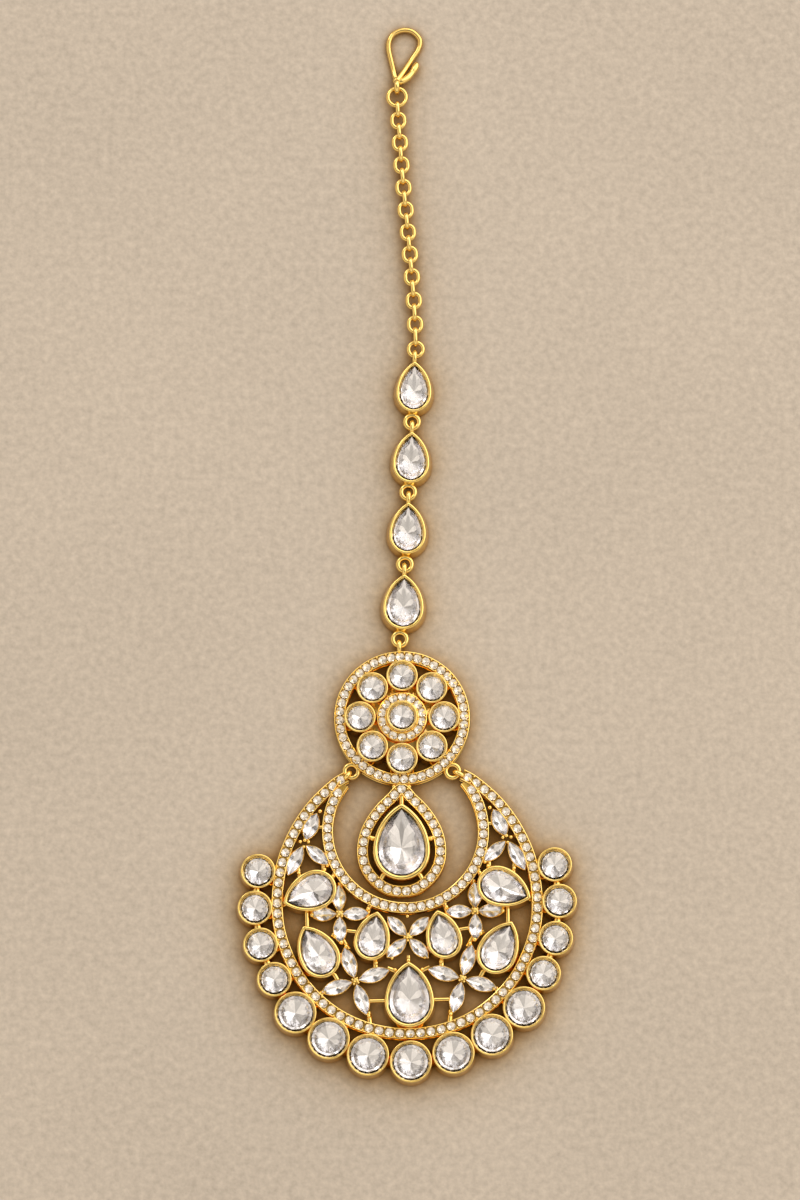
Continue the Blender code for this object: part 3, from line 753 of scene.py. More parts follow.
def add_bar(target, start, end, radius, matrix, z):
    """A straight round bar between two points."""
    dx, dy = end[0] - start[0], end[1] - start[1]
    shape = bmesh.new()
    bmesh.ops.create_cone(
        shape, cap_ends=True, segments=14, radius1=radius, radius2=radius, depth=hypot(dx, dy)
    )
    lying = Matrix.Rotation(pi / 2, 4, "Y")
    spot = place((start[0] + end[0]) / 2, (start[1] + end[1]) / 2, atan2(dy, dx), z)
    join(target, shape, matrix @ spot @ lying)


def add_bars(target, bars, matrix, z=BAR_MIDDLE):
    """The bars of a table, each also mirrored unless it starts on the axis."""
    for start_x, start_y, end_x, end_y, radius in bars:
        for side in sides_of(start_x):
            add_bar(target, (side * start_x, start_y), (side * end_x, end_y), radius, matrix, z)


def ball_mesh(radius, turns=14, rings=9):
    shape = bmesh.new()
    bmesh.ops.create_uvsphere(shape, u_segments=turns, v_segments=rings, radius=radius)
    return as_mesh(shape)


def add_balls(target, balls, z, matrix, mirrored=True):
    for x, y, radius in balls:
        mesh = ball_mesh(radius)
        for side in sides_of(x if mirrored else 0.0):
            put(target, mesh, matrix @ Matrix.Translation((side * x, y, z)))
        bpy.data.meshes.remove(mesh)


def band_profile(width, bottom, top):
    """A closed section: a foot, a groove, a wall, two raised lips and the channel between them."""
    half = width / 2
    right = [
        (half + 0.03, bottom),
        (half + 0.05, bottom + 0.08),
        (half + 0.04, bottom + 0.42),
        (half - 0.07, bottom + 0.52),
        (half - 0.08, bottom + 0.64),
        (half - 0.01, bottom + 0.76),
        (half, top - 0.14),
        (half - 0.03, top - 0.03),
        (half - 0.09, top),
        (half - 0.15, top - 0.04),
        (half - 0.19, top - 0.2),
        (half - 0.26, top - 0.46),
    ]
    return right + [(-x, z) for x, z in reversed(right)]


def bed_profile(width, top):
    """The sunk bed that the pave stones lie in, a sheet that carries painted shade."""
    half = width / 2 - 0.21
    return [(half, top - 0.5), (half, top - 0.36), (0.0, top - 0.4), (-half, top - 0.36), (-half, top - 0.5)]


def add_band(target, line, profile, matrix, closed=False, material=0):
    """A band along a line of (x, y) points."""
    rings = []
    for k, spot in enumerate(line):
        ahead = point_at(line, k + 1, closed) - point_at(line, k - 1, closed)
        across = Vector((-ahead.y, ahead.x)).normalized()
        rings.append([(*(spot + across * offset), z) for offset, z in profile])
    shape = sweep(rings, closed)
    for face in shape.faces:
        face.material_index = material
    join(target, shape, matrix)


def line_places(line, count, closed=False, start=0.0, end=0.0):
    """Evenly spaced spots on a line: x, y and the direction of the line."""
    spots = list(line) + ([line[0]] if closed else [])
    lengths = [0.0]
    for near, far in zip(spots, spots[1:]):
        lengths.append(lengths[-1] + (far - near).length)
    whole = lengths[-1] - start - end
    pitch = whole / (count if closed else count - 1)
    found = []
    k = 0
    for number in range(count):
        wanted = start + number * pitch
        while k < len(spots) - 2 and lengths[k + 1] < wanted:
            k += 1
        share = (wanted - lengths[k]) / (lengths[k + 1] - lengths[k])
        spot = spots[k].lerp(spots[k + 1], share)
        ahead = spots[k + 1] - spots[k]
        found.append((spot.x, spot.y, atan2(ahead.y, ahead.x)))
    return found


def cut_shape(outline, girdle, table, culet, table_share, culet_y=0.0, edge=0.1, step=0.0):
    """A faceted stone as the hull of its girdle, its table, the corners between them and its culet.

    A step bends the back facets outwards halfway down, which gives each two facets.
    """
    shape = bmesh.new()
    middle = Vector((0.0, culet_y))
    rings = (
        # first point, share of the outline, height
        (0, 1.0, girdle),
        (1, 1.0, girdle + 0.02),
        (0, 1.0, girdle + edge),
        (1, 1.0, girdle + edge),
        (0, table_share, table),
        (1, (1 + table_share) / 2, girdle + edge + (table - girdle - edge) * 0.62),
    )
    if step:
        rings += ((1, 0.5, girdle + (culet - girdle) * (0.5 + step)),)
    for first, share, z in rings:
        for x, y in outline[first::2]:
            spot = middle + (Vector((x, y)) - middle) * share
            shape.verts.new((spot.x, spot.y, z))
    shape.verts.new((0.0, culet_y, culet))
    hull = bmesh.ops.convex_hull(shape, input=shape.verts)
    inside = hull["geom_interior"] + hull["geom_unused"]
    unused = {part for part in inside if isinstance(part, bmesh.types.BMVert)}
    bmesh.ops.delete(shape, geom=list(unused), context="VERTS")
    bmesh.ops.dissolve_limit(shape, angle_limit=radians(0.8), verts=shape.verts, edges=shape.edges)
    bmesh.ops.recalc_face_normals(shape, faces=shape.faces)
    # Painted reflections: each facet gets a foil brightness in turn round the stone
    tone = shape.faces.layers.float.new(FACET_LAYER)
    for face in shape.faces:
        face.material_index = 1 if face.normal.z < -0.05 else 0
        spot = face.calc_center_median()
        turn = atan2(spot.y - culet_y, spot.x) / (2 * pi)
        face[tone] = FACET_PAINTED_REFLECTIONS[floor(turn * len(outline) / 2) % len(FACET_PAINTED_REFLECTIONS)]
    return shape


def finish(name, shape, materials, nodes=(), flat=False):
    """Moves a shape from millimetres to its place, makes its object and ties it to the frame."""
    shift = Matrix.Translation((CENTRE_SHIFT[0] * MM, CENTRE_SHIFT[1] * MM, 0.0))
    bmesh.ops.transform(shape, matrix=shift @ Matrix.Scale(MM, 4), verts=shape.verts)
    mesh = bpy.data.meshes.new(name)
    shape.to_mesh(mesh)
    shape.free()
    for material in materials:
        mesh.materials.append(material)
    if flat:
        mesh.shade_flat()
    else:
        mesh.shade_smooth()
        mesh.set_sharp_from_angle(angle=radians(42))
    piece = bpy.data.objects.new(name, mesh)
    bpy.context.scene.collection.objects.link(piece)
    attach(piece, "root")
    if nodes:
        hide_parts(*nodes)
    return piece


# Materials


def add_node(tree, kind, inputs=None, **values):
    """Adds a node. Each input takes a value or another node's output, each named value is a setting."""
    node = tree.nodes.new(kind)
    for label, value in values.items():
        setattr(node, label, value)
    feed(tree, node, inputs or {})
    return node


def feed(tree, node, inputs):
    for label, value in inputs.items():
        if isinstance(value, bpy.types.NodeSocket):
            tree.links.new(value, node.inputs[label])
        else:
            node.inputs[label].default_value = value


def add_noise(tree, spot, **inputs):
    return add_node(tree, "ShaderNodeTexNoise", {"Vector": spot, **inputs}).outputs["Fac"]


def multiply_add(tree, first, factor, added):
    inputs = {0: first, 1: factor, 2: added}
    return add_node(tree, "ShaderNodeMath", inputs, operation="MULTIPLY_ADD").outputs["Value"]


def multiply(tree, first, second):
    """Multiplies two colours."""
    inputs = {"Factor": 1.0, "A": first, "B": second}
    node = add_node(tree, "ShaderNodeMix", inputs, data_type="RGBA", blend_type="MULTIPLY")
    return node.outputs["Result"]


def new_material(name):
    """A material, its node tree and its Principled shader."""
    material = bpy.data.materials.new(name)
    material.use_nodes = True
    return material, material.node_tree, material.node_tree.nodes["Principled BSDF"]


def fill_ramp(ramp, stops):
    """Gives a colour ramp its stops of position and colour."""
    elements = ramp.color_ramp.elements
    elements.remove(elements[1])
    for k, (position, colour) in enumerate(stops):
        element = elements.new(position) if k else elements[0]
        element.position = position
        element.color = colour


def surface_group():
    """Shader group for metal and foil: tone, painted shade that darkens the colour low down, roughness and
    fine relief that change over the surface.
    """
    name = "Worked surface"
    if name in bpy.data.node_groups:
        return bpy.data.node_groups[name]
    group = bpy.data.node_groups.new(name, "ShaderNodeTree")
    for label, kind, value in (
        ("Colour", "Color", (0.9, 0.6, 0.2, 1.0)),
        ("Painted Shade Colour", "Color", (0.7, 0.4, 0.1, 1.0)),
        ("Painted Shade Bottom", "Float", 0.0),
        ("Painted Shade Top", "Float", 0.0016),
        ("Roughness", "Float", 0.2),
        ("Roughness Spread", "Float", 0.06),
        ("Wave Size", "Float", 700.0),
        ("Wave Height", "Float", 0.00001),
        ("Grain Height", "Float", 0.000001),
    ):
        socket = group.interface.new_socket(name=label, in_out="INPUT", socket_type=f"NodeSocket{kind}")
        socket.default_value = value
    for label, kind in (("Colour", "Color"), ("Roughness", "Float"), ("Normal", "Vector")):
        group.interface.new_socket(name=label, in_out="OUTPUT", socket_type=f"NodeSocket{kind}")
    given = group.nodes.new("NodeGroupInput").outputs
    spot = group.nodes.new("ShaderNodeTexCoord").outputs["Object"]
    split = add_node(group, "ShaderNodeSeparateXYZ", {"Vector": spot})
    # Painted shade: the colour darkens low down, from the given top height to the given bottom height
    inputs = {"Value": split.outputs["Z"], "From Min": given["Painted Shade Bottom"], "From Max": given["Painted Shade Top"]}
    depth = add_node(group, "ShaderNodeMapRange", inputs)
    wave = add_noise(group, spot, Scale=given["Wave Size"], Detail=1.0)
    grain = add_noise(group, spot, Scale=5200.0, Detail=2.0)
    uneven = multiply_add(group, wave, 0.5, depth.outputs["Result"])
    tone = add_node(group, "ShaderNodeMapRange", {"Value": uneven, "From Min": 0.25, "From Max": 1.2})
    inputs = {"Factor": tone.outputs["Result"], "A": given["Painted Shade Colour"], "B": given["Colour"]}
    mix = add_node(group, "ShaderNodeMix", inputs, data_type="RGBA")
    rough = multiply_add(group, grain, given["Roughness Spread"], given["Roughness"])
    waves = add_node(group, "ShaderNodeBump", {"Height": wave, "Distance": given["Wave Height"]})
    inputs = {"Height": grain, "Distance": given["Grain Height"], "Normal": waves.outputs["Normal"]}
    grains = add_node(group, "ShaderNodeBump", inputs)
    outputs = {"Colour": mix.outputs["Result"], "Roughness": rough, "Normal": grains.outputs["Normal"]}
    add_node(group, "NodeGroupOutput", outputs)
    return group


def surface_material(name, values, metallic=1.0, coat=0.0):
    """A Principled material fed by the surface group, with the group's values given by name."""
    if name in bpy.data.materials:
        return bpy.data.materials[name]
    material, tree, shader = new_material(name)
    group = add_node(tree, "ShaderNodeGroup", node_tree=surface_group())
    feed(tree, group, values)
    inputs = {
        "Metallic": metallic,
        "Coat Weight": coat,
        "Coat Roughness": 0.05,
        "Coat IOR": 1.7,
        "Base Color": group.outputs["Colour"],
        "Roughness": group.outputs["Roughness"],
        "Normal": group.outputs["Normal"],
    }
    feed(tree, shader, inputs)
    return material


def solid(colour):
    return (*colour, 1.0)


def gold_material(name, values, coat=0.0):
    """Gold plate: the surface values that all its finishes share, and the ones of this finish."""
    gold = bpy.context.scene.tikka_gold
    # Painted shade: all gold finishes darken low down, up to the top of the pave bands
    shared = {
        "Colour": solid(gold.colour),
        "Painted Shade Colour": solid(gold.painted_shade_colour),
        "Painted Shade Top": BAND_TOP * MM,
        "Roughness": gold.roughness,
        "Wave Height": gold.ripple,
    }
    return surface_material(name, {**shared, **values}, coat=coat)


def polished_gold():
    values = {"Painted Shade Bottom": 0.0001, "Roughness Spread": 0.03, "Grain Height": 0.00000015}
    return gold_material("polished_gold", values, bpy.context.scene.tikka_gold.lacquer)


def pave_gold():
    gold = bpy.context.scene.tikka_gold
    values = {**PAVE_WORK, "Roughness Spread": 0.12, "Wave Height": gold.ripple * 1.2}
    return gold_material("pave_gold", values, gold.lacquer)


def pave_bed():
    # Painted shade: the bed under the pave stones is coloured darker than the gold, and darker still low down
    gold = bpy.context.scene.tikka_gold
    shade_gold = Vector(gold.painted_shade_colour)
    values = {"Colour": solid(shade_gold), "Painted Shade Colour": solid(shade_gold * 0.7), "Roughness": gold.roughness + 0.15}
    return gold_material("pave_bed", {**PAVE_WORK, **values})


def stone_foil(name="stone_foil", tint=(1.0, 1.0, 1.0)):
    """Silvered back of a stone, a little brighter or darker from facet to facet by painted reflections, and a
    little darker low down by painted shade.
    """
    if name in bpy.data.materials:
        return bpy.data.materials[name]
    stones = bpy.context.scene.tikka_stones
    colour = Vector(stones.foil_colour) * Vector(tint)
    values = {
        "Colour": solid(colour),
        # Painted shade: the foil is a little darker low down
        "Painted Shade Colour": solid(colour * 0.94),
        "Painted Shade Bottom": 0.0004,
        "Roughness": stones.foil_roughness,
        "Roughness Spread": 0.04,
        "Wave Size": 900.0,
        "Wave Height": 0.000003,
        "Grain Height": 0.0,
    }
    material = surface_material(name, values)
    tree = material.node_tree
    shader = tree.nodes["Principled BSDF"]
    plain = shader.inputs["Base Color"].links[0].from_socket
    # Painted reflections: the foil colour is multiplied by each facet's brightness
    tone = add_node(tree, "ShaderNodeAttribute", attribute_name=FACET_LAYER).outputs["Color"]
    feed(tree, shader, {"Base Color": multiply(tree, plain, tone)})
    return material


def stone_glass():
    """Clear cut stone: rays go in through the crown and come back from the foil."""
    name = "stone_glass"
    if name in bpy.data.materials:
        return bpy.data.materials[name]
    material, tree, shader = new_material(name)
    cloud = add_noise(tree, add_node(tree, "ShaderNodeTexCoord").outputs["Object"], Scale=420.0, Detail=3.0)
    inputs = {"Factor": cloud, "A": (0.985, 0.975, 0.965, 1.0), "B": (1.0, 1.0, 1.0, 1.0)}
    tint = add_node(tree, "ShaderNodeMix", inputs, data_type="RGBA").outputs["Result"]
    bend = bpy.context.scene.tikka_stones.bend
    feed(tree, shader, {"Roughness": 0.0, "IOR": bend, "Transmission Weight": 1.0, "Base Color": tint})
    return material


def stone_materials():
    return [stone_glass(), stone_foil()]


def pave_materials():
    """The small stones lie in gold, whose reflection is painted onto their backs as a warm tint."""
    return [stone_glass(), stone_foil("pave_foil", PAVE_GOLD_REFLECTION)]


def settings():
    scene = bpy.context.scene
    return scene.tikka_sizes, scene.tikka_stones


# Stones


def add_round_bezel(target, kind, number, x, y, rim_radius, height, base=Matrix(), lean=None):
    """A round bezel and the stone in it, which is turned a little against the one before."""
    sizes, stones = settings()
    lean = lean or sizes.lean
    profile = cup_profile(height, sizes.rim, lean, sizes.flare)
    walls = [(rim_radius - inset, z) for inset, z in profile]
    cup = lathe([(0.0, 0.0), *walls, (0.0, CUP_FLOOR)], sizes.turns)
    join(target, cup, base @ place(x, y))
    radius = (rim_radius - sizes.rim - lean + SEAT_BITE) / cos(pi / ROUND_SIDES)
    outline = circle_line(0.0, 0.0, radius, ROUND_SIDES)
    spot = base @ place(x, y, STONE_TURN * number)
    names = f"{kind}_stone_cut_{number}", f"{kind}_stone_{number}"
    add_stone(*names, outline, height, stones.depth * radius, spot)


def join_stone(target, shape, matrix):
    """Adds a stone with its two finishes as they are."""
    mesh = as_mesh(shape)
    put(target, mesh, matrix)
    bpy.data.meshes.remove(mesh)


def add_stone(name, node, outline, height, depth, matrix, culet_y=0.0):
    """A stone in its bezel, whose height is given, in place of its node."""
    _, stones = settings()
    girdle = height - stones.recess
    table = girdle + stones.crown
    shape = cut_shape(outline, girdle, table, girdle - depth, stones.table_share, culet_y, step=BACK_STEP)
    whole = bmesh.new()
    join_stone(whole, shape, matrix)
    finish(name, whole, stone_materials(), [node], flat=True)


def add_pear_cup(target, width, length, height, matrix, rim=PEAR_RIM, flare=None, count=72):
    sizes, _ = settings()
    profile = cup_profile(height, rim, PEAR_LEAN, flare or sizes.flare)
    add_cup(target, pear_outline(width, length, count), profile, matrix)


def add_pear_stone(name, node, width, length, height, matrix, rim=PEAR_RIM, count=20):
    _, stones = settings()
    inset = rim + PEAR_LEAN - PEAR_SEAT_BITE
    outline = pear_outline(width, length, count)(inset)
    depth = stones.pear_depth * (width / 2 - inset)
    culet_y = (PEAR_BELLY - 0.5 + CULET_RISE) * length
    add_stone(name, node, outline, height, depth, matrix, culet_y)


def petal_stone(width, length):
    """Marquise stone of a petal, its table above the rim."""
    outline = marquise_outline(width, length, 12)(0.1)
    girdle = PETAL_RIM - 0.1
    table = girdle + 0.3
    culet = girdle - 0.16 * width
    return cut_shape(outline, girdle, table, culet, table_share=0.5)


def pave_stone_mesh(radius):
    """A small round stone with its table at zero."""
    outline = circle_line(0.0, 0.0, radius, 12)
    girdle = -0.15
    culet = girdle - 0.28 * radius
    return as_mesh(cut_shape(outline, girdle, 0.0, culet, table_share=0.56, edge=0.04))


def add_pave(stones, beads, places, top, matrix, closed, bead_offset):
    """Stones at each place and two beads between each pair of neighbours."""
    sizes, _ = settings()
    stone = pave_stone_mesh(sizes.pave)
    bead = ball_mesh(sizes.bead, 8, 5)
    for k, (x, y, turn) in enumerate(places):
        put(stones, stone, matrix @ place(x, y, turn + PAVE_TURN * k, top))
        if k == len(places) - 1 and not closed:
            break
        spot = Vector((x, y))
        ahead = Vector(point_at(places, k + 1, closed)[:2]) - spot
        across = Vector((-ahead.y, ahead.x)).normalized() * bead_offset
        for side in (-1, 1):
            at = spot + ahead / 2 + across * side
            put(beads, bead, matrix @ place(at.x, at.y, 0.0, top + 0.01))
    bpy.data.meshes.remove(stone)
    bpy.data.meshes.remove(bead)


def add_walls(shape, bands, matrix, closed):
    for line, _, _, width, bottom, top in bands:
        add_band(shape, line, band_profile(width, bottom, top), matrix, closed)


def add_pave_work(name, bands, matrix, closed):
    """The stones of some bands as one piece, and their beads and sunk beds as another."""
    stones = bmesh.new()
    beads = bmesh.new()
    for line, places, bead_offset, width, _, top in bands:
        add_pave(stones, beads, places, top, matrix, closed, bead_offset)
        add_band(beads, line, bed_profile(width, top), matrix, closed, 1)
    finish(f"{name}_pave_stones", stones, pave_materials(), flat=True)
    # The beads and the beds carry painted shade low down
    finish(f"{name}_pave_beads", beads, [pave_gold(), pave_bed()])


# Lines and places that the operators use


def drop_halo_line():
    right = [(DROP_AXIS + x, y) for x, y in DROP_HALO_PLACES]
    left = [(DROP_AXIS - x, y) for x, y in DROP_HALO_PLACES[-2:0:-1]]
    return smooth_line(right + left, 8, closed=True)


def inner_line():
    return arc(0.0, 0.0, INNER_RADIUS, INNER_START, -pi - INNER_START, 120)


def outer_line():
    places = [(-x, y) for x, y in reversed(OUTER_PLACES[1:])] + list(OUTER_PLACES)
    return smooth_line(places, 6)


def crescent_pears():
    """x, y, turn, width and length of each pear."""
    pears = []
    for x, y, direction, width, length in CRESCENT_PEARS:
        for side in sides_of(x):
            turn = mirror_turn(radians(direction), side) - pi / 2
            pears.append((side * x, y, turn, width, length))
    return pears


def border_places():
    return [(side * x, y, rim) for x, y, rim in BORDER_PLACES for side in sides_of(x)]


def rosette_places():
    x, y = MEDALLION_CENTRE
    turns = [2 * pi * k / ROSETTE_COUNT for k in range(ROSETTE_COUNT)]
    around = [
        (x + ROSETTE_RADIUS * sin(turn), y + ROSETTE_RADIUS * cos(turn), ROSETTE_RIM, ROSETTE_HEIGHT)
        for turn in turns
    ]
    return around + [(x, y, CENTRE_RIM, CENTRE_HEIGHT)]


def petal_places():
    """x, y, turn, length and width of each petal, and x, y and first turn of each flower."""
    petals = []
    clusters = []
    for x, y, first, distance, length, width in FLOWERS:
        for side in sides_of(x):
            start = mirror_turn(radians(first), side)
            clusters.append((side * x, y, start))
            for k in range(4):
                turn = start + k * pi / 2
                reach = distance * cos(turn), distance * sin(turn)
                petals.append((side * x + reach[0], y + reach[1], turn, length, width))
    hub_x, hub_y = TREFOIL_CENTRE
    for side in (-1, 1):
        for x, y, length, width in TREFOIL_PETALS:
            petals.append((side * x, y, atan2(y - hub_y, side * (x - hub_x)), length, width))
    return petals, clusters


# Operators


class TIKKA_OT_hair_hook(bpy.types.Operator):
    """Wire loop with its leaf-ended tail, throat and eye"""

    bl_idname = "tikka.hair_hook"
    bl_label = "Hair hook"

    def execute(self, context):
        shape = bmesh.new()
        add_wire(shape, HOOK_ROUTE)
        add_wire(shape, TAIL_ROUTE)
        eye = Matrix.Translation(EYE_PLACE) @ Matrix.Rotation(pi / 2, 4, "Y")
        add_ring(shape, EYE_RADIUS, EYE_WIRE, eye)
        knot = ball_mesh(KNOT_RADIUS, 20, 14)
        put(shape, knot, Matrix.Translation(KNOT_PLACE) @ Matrix.Diagonal(KNOT_SHAPE))
        bpy.data.meshes.remove(knot)
        finish("hair_hook_wire", shape, [polished_gold()], ["hair_hook"])
        return {"FINISHED"}


class TIKKA_OT_chain(bpy.types.Operator):
    """Rings that lie face on and the links on edge between them"""

    bl_idname = "tikka.chain"
    bl_label = "Chain"

    def execute(self, context):
        sizes = [(TOP_RING_RADIUS, 0.0)]
        sizes += [(LINK_HALF_WIDTH, LINK_HALF_LENGTH - LINK_HALF_WIDTH)] * (len(CHAIN_PLACES) - 2)
        sizes += [(LOW_RING_RADIUS, 0.0)]
        shape = bmesh.new()
        for k, (x, y) in enumerate(CHAIN_PLACES):
            before, after = point_at(CHAIN_PLACES, k - 1), point_at(CHAIN_PLACES, k + 1)
            turn = atan2(after[0] - before[0], before[1] - after[1])
            radius, stretch = sizes[k]
            add_ring(shape, radius, CHAIN_WIRE, place(x, y, turn, WIRE_MIDDLE), stretch)
        upright = Matrix.Rotation(pi / 2, 4, "Y")
        for k, (x, y) in enumerate(CHAIN_PLACES[:-1]):
            after_x, after_y = CHAIN_PLACES[k + 1]
            pitch = hypot(after_x - x, after_y - y)
            near = sum(sizes[k]) - LINK_BITE
            far = pitch - sum(sizes[k + 1]) + LINK_BITE
            share = (near + far) / 2 / pitch
            turn = atan2(after_x - x, y - after_y)
            spot = place(x + (after_x - x) * share, y + (after_y - y) * share, turn, WIRE_MIDDLE)
            half = (far - near) / 2
            width = min(LINK_HALF_WIDTH - EDGE_LINK_TRIM, half)
            add_ring(shape, width, CHAIN_WIRE, spot @ upright, half - width)
        finish("chain_links", shape, [polished_gold()], ["chain"])
        return {"FINISHED"}


class TIKKA_OT_pear_links(bpy.types.Operator):
    """Four pear bezels, each with its bail, its jump ring and its stone"""

    bl_idname = "tikka.pear_links"
    bl_label = "Pear links"

    def execute(self, context):
        for number, (tip_x, tip_y, width, length, ring_x, ring_y) in enumerate(PEAR_LINKS, 1):
            lean = Matrix.Rotation(LINK_LEAN, 4, "Z")
            middle = Vector((tip_x, tip_y, 0.0)) - lean @ Vector((0.0, length / 2, 0.0))
            spot = Matrix.Translation(middle) @ lean
            shape = bmesh.new()
            add_pear_cup(shape, width, length, LINK_HEIGHT, spot, LINK_RIM, LINK_FLARE)
            add_ring(shape, RING_RADIUS, RING_WIRE, place(ring_x, ring_y, 0.0, WIRE_MIDDLE))
            add_bail(shape, tip_x, tip_y + BAIL_HALF_LENGTH - BAIL_SINK, LINK_LEAN, BAIL_HALF_LENGTH)
            finish(f"pear_setting_{number}", shape, [polished_gold()], [f"pear_link_{number}"])
            names = f"link_stone_cut_{number}", f"link_stone_{number}"
            add_pear_stone(*names, width, length, LINK_HEIGHT, spot, LINK_RIM)
        return {"FINISHED"}


class TIKKA_OT_medallion(bpy.types.Operator):
    """Pave ring, rosette of bezels, side rings, bail and the pear drop below"""

    bl_idname = "tikka.medallion"
    bl_label = "Medallion and drop"

    def execute(self, context):
        x, y = MEDALLION_CENTRE
        shape = bmesh.new()
        ring = circle_line(x, y, MEDALLION_RADIUS, 144)
        halo = circle_line(x, y, HALO_RADIUS, 72)
        drop_halo = drop_halo_line()
        fine_ring = circle_line(x, y, MEDALLION_RADIUS, 176, RING_PAVE_TURN)
        ring_places = line_places(fine_ring, RING_PAVE_COUNT, closed=True)
        halo_places = line_places(halo, HALO_PAVE_COUNT, closed=True)
        drop_places = line_places(drop_halo, DROP_PAVE_COUNT, closed=True)
        bands = (
            # middle line, places of its stones, how far the beads stand from it, width, bottom, top
            (ring, ring_places, BEAD_OFFSET, BAND_WIDTH, BAND_BOTTOM, BAND_TOP),
            (halo, halo_places, HALO_BEAD_OFFSET, HALO_WIDTH, BAND_BOTTOM + STEP_UP, CENTRE_HALO_TOP),
            (drop_halo, drop_places, BEAD_OFFSET, BAND_WIDTH, BAND_BOTTOM, BAND_TOP),
        )
        add_walls(shape, bands, Matrix(), True)
        join(shape, lathe(BACK_PLATE, 64), place(x, y))
        for number, values in enumerate(rosette_places(), 1):
            add_round_bezel(shape, "medallion", number, *values, lean=ROSETTE_LEAN)
        side_x, side_y = SIDE_RING_PLACE
        for side in (-1, 1):
            spot = place(x + side * side_x, y + side_y, 0.0, WIRE_MIDDLE)
            add_ring(shape, SIDE_RING_RADIUS, RING_WIRE, spot)
        bail_y = y + MEDALLION_RADIUS + BAND_WIDTH / 2 - BAIL_SINK + BAIL_HALF_LENGTH
        add_bail(shape, x + MEDALLION_BAIL_SHIFT, bail_y, 0.0, BAIL_HALF_LENGTH)
        self.add_drop(shape)
        finish("medallion_frame", shape, [polished_gold()], ["medallion_setting"])
        add_pave_work("medallion", bands, Matrix(), True)
        return {"FINISHED"}

    def add_drop(self, shape):
        """The pear bezel below with its stone, and the bars, plate and balls that hold it."""
        spot = place(DROP_AXIS, DROP_RIM_TOP - DROP_RIM_LENGTH / 2)
        bezel = DROP_RIM_WIDTH, DROP_RIM_LENGTH, DROP_HEIGHT, spot, DROP_RIM
        add_pear_cup(shape, *bezel, count=96)
        add_pear_stone("drop_stone_cut", "drop_stone", *bezel, count=28)
        axis = place(DROP_AXIS, 0.0)
        add_bars(shape, DROP_BARS, axis, DROP_BAR_MIDDLE)
        flat = Matrix.Translation((0.0, 0.0, DROP_PLATE_MIDDLE)) @ Matrix.Diagonal(DROP_PLATE_SHAPE)
        add_bars(shape, [DROP_PLATE], axis @ flat, 0.0)
        add_balls(shape, DROP_BALLS, BALL_MIDDLE, axis)


class TIKKA_OT_crescent(bpy.types.Operator):
    """Pierced crescent: two pave bands, border bezels, pear bezels, petals, bars and balls"""

    bl_idname = "tikka.crescent"
    bl_label = "Crescent"

    def execute(self, context):
        crescent = place(*CRESCENT_CENTRE, CRESCENT_TURN)
        shape = bmesh.new()
        inner, outer = inner_line(), outer_line()
        outer_places = line_places(outer, OUTER_PAVE_COUNT, start=OUTER_PAVE_START, end=OUTER_PAVE_START)
        inner_places = line_places(inner, INNER_PAVE_COUNT, start=INNER_PAVE_START, end=INNER_PAVE_START)
        bands = (
            # middle line, places of its stones, how far the beads stand from it, width, bottom, top
            (outer, outer_places, BEAD_OFFSET, BAND_WIDTH, BAND_BOTTOM, BAND_TOP),
            (inner, inner_places, BEAD_OFFSET, BAND_WIDTH, BAND_BOTTOM + STEP_UP, BAND_TOP + STEP_UP),
        )
        add_walls(shape, bands, crescent, False)
        for number, values in enumerate(border_places(), 1):
            add_round_bezel(shape, "border", number, *values, BORDER_HEIGHT, crescent)
        for number, (x, y, turn, width, length) in enumerate(crescent_pears(), 1):
            spot = crescent @ place(x, y, turn)
            bezel = width, length, PEAR_HEIGHT, spot
            add_pear_cup(shape, *bezel)
            add_pear_stone(f"crescent_stone_cut_{number}", f"crescent_stone_{number}", *bezel)
        petals, clusters = petal_places()
        petal_stones = bmesh.new()
        for x, y, direction, length, width in petals:
            spot = crescent @ place(x, y, direction - pi / 2)
            add_petal_cup(shape, marquise_outline(width, length, 36), spot)
            join_stone(petal_stones, petal_stone(width, length), spot)
        for x, y, first in clusters:
            join(shape, lathe(FLOWER_HUB, 24), crescent @ place(x, y))
            turns = [first + pi / 4 + k * pi / 2 for k in range(4)]
            small = [(HUB_REACH * cos(turn), HUB_REACH * sin(turn), HUB_BALL) for turn in turns]
            add_balls(shape, small, PETAL_RIM, crescent @ place(x, y), mirrored=False)
        add_bars(shape, CRESCENT_BARS, crescent)
        add_balls(shape, CRESCENT_BALLS, BALL_MIDDLE, crescent)
        self.add_tip_loops(shape, crescent)
        self.add_border_plates(shape, crescent)
        finish("crescent_frame", shape, [polished_gold()], ["crescent_setting"])
        finish("petal_stones", petal_stones, stone_materials(), flat=True)
        add_pave_work("crescent", bands, crescent, False)
        return {"FINISHED"}

    def add_tip_loops(self, shape, crescent):
        """Wire loops that hold the crescent's tips to the medallion's side rings."""
        for side in (-1, 1):
            ring = Vector(MEDALLION_CENTRE) + Vector((side * SIDE_RING_PLACE[0], SIDE_RING_PLACE[1]))
            tip = (crescent @ Vector((side * TIP_PLACE[0], TIP_PLACE[1], 0.0))).to_2d()
            reach = tip - ring
            near = ring + reach.normalized() * TIP_LOOP_START
            far = tip + reach.normalized() * TIP_LOOP_SINK
            middle = (near + far) / 2
            turn = atan2(reach.y, reach.x) - pi / 2
            add_bail(shape, middle.x, middle.y, turn, (far - near).length / 2)

    def add_border_plates(self, shape, crescent):
        """Short plates that join neighbouring border bezels."""
        flat = crescent @ Matrix.Diagonal(BORDER_PLATE_SHAPE)
        for side in (-1, 1):
            line = [Vector((side * x, y)) for x, y, rim in BORDER_PLACES]
            for near, far in zip(line, line[1:]):
                start, end = near.lerp(far, 0.4), near.lerp(far, 0.6)
                add_bar(shape, start, end, BORDER_PLATE_RADIUS, flat, z=BORDER_PLATE_MIDDLE)


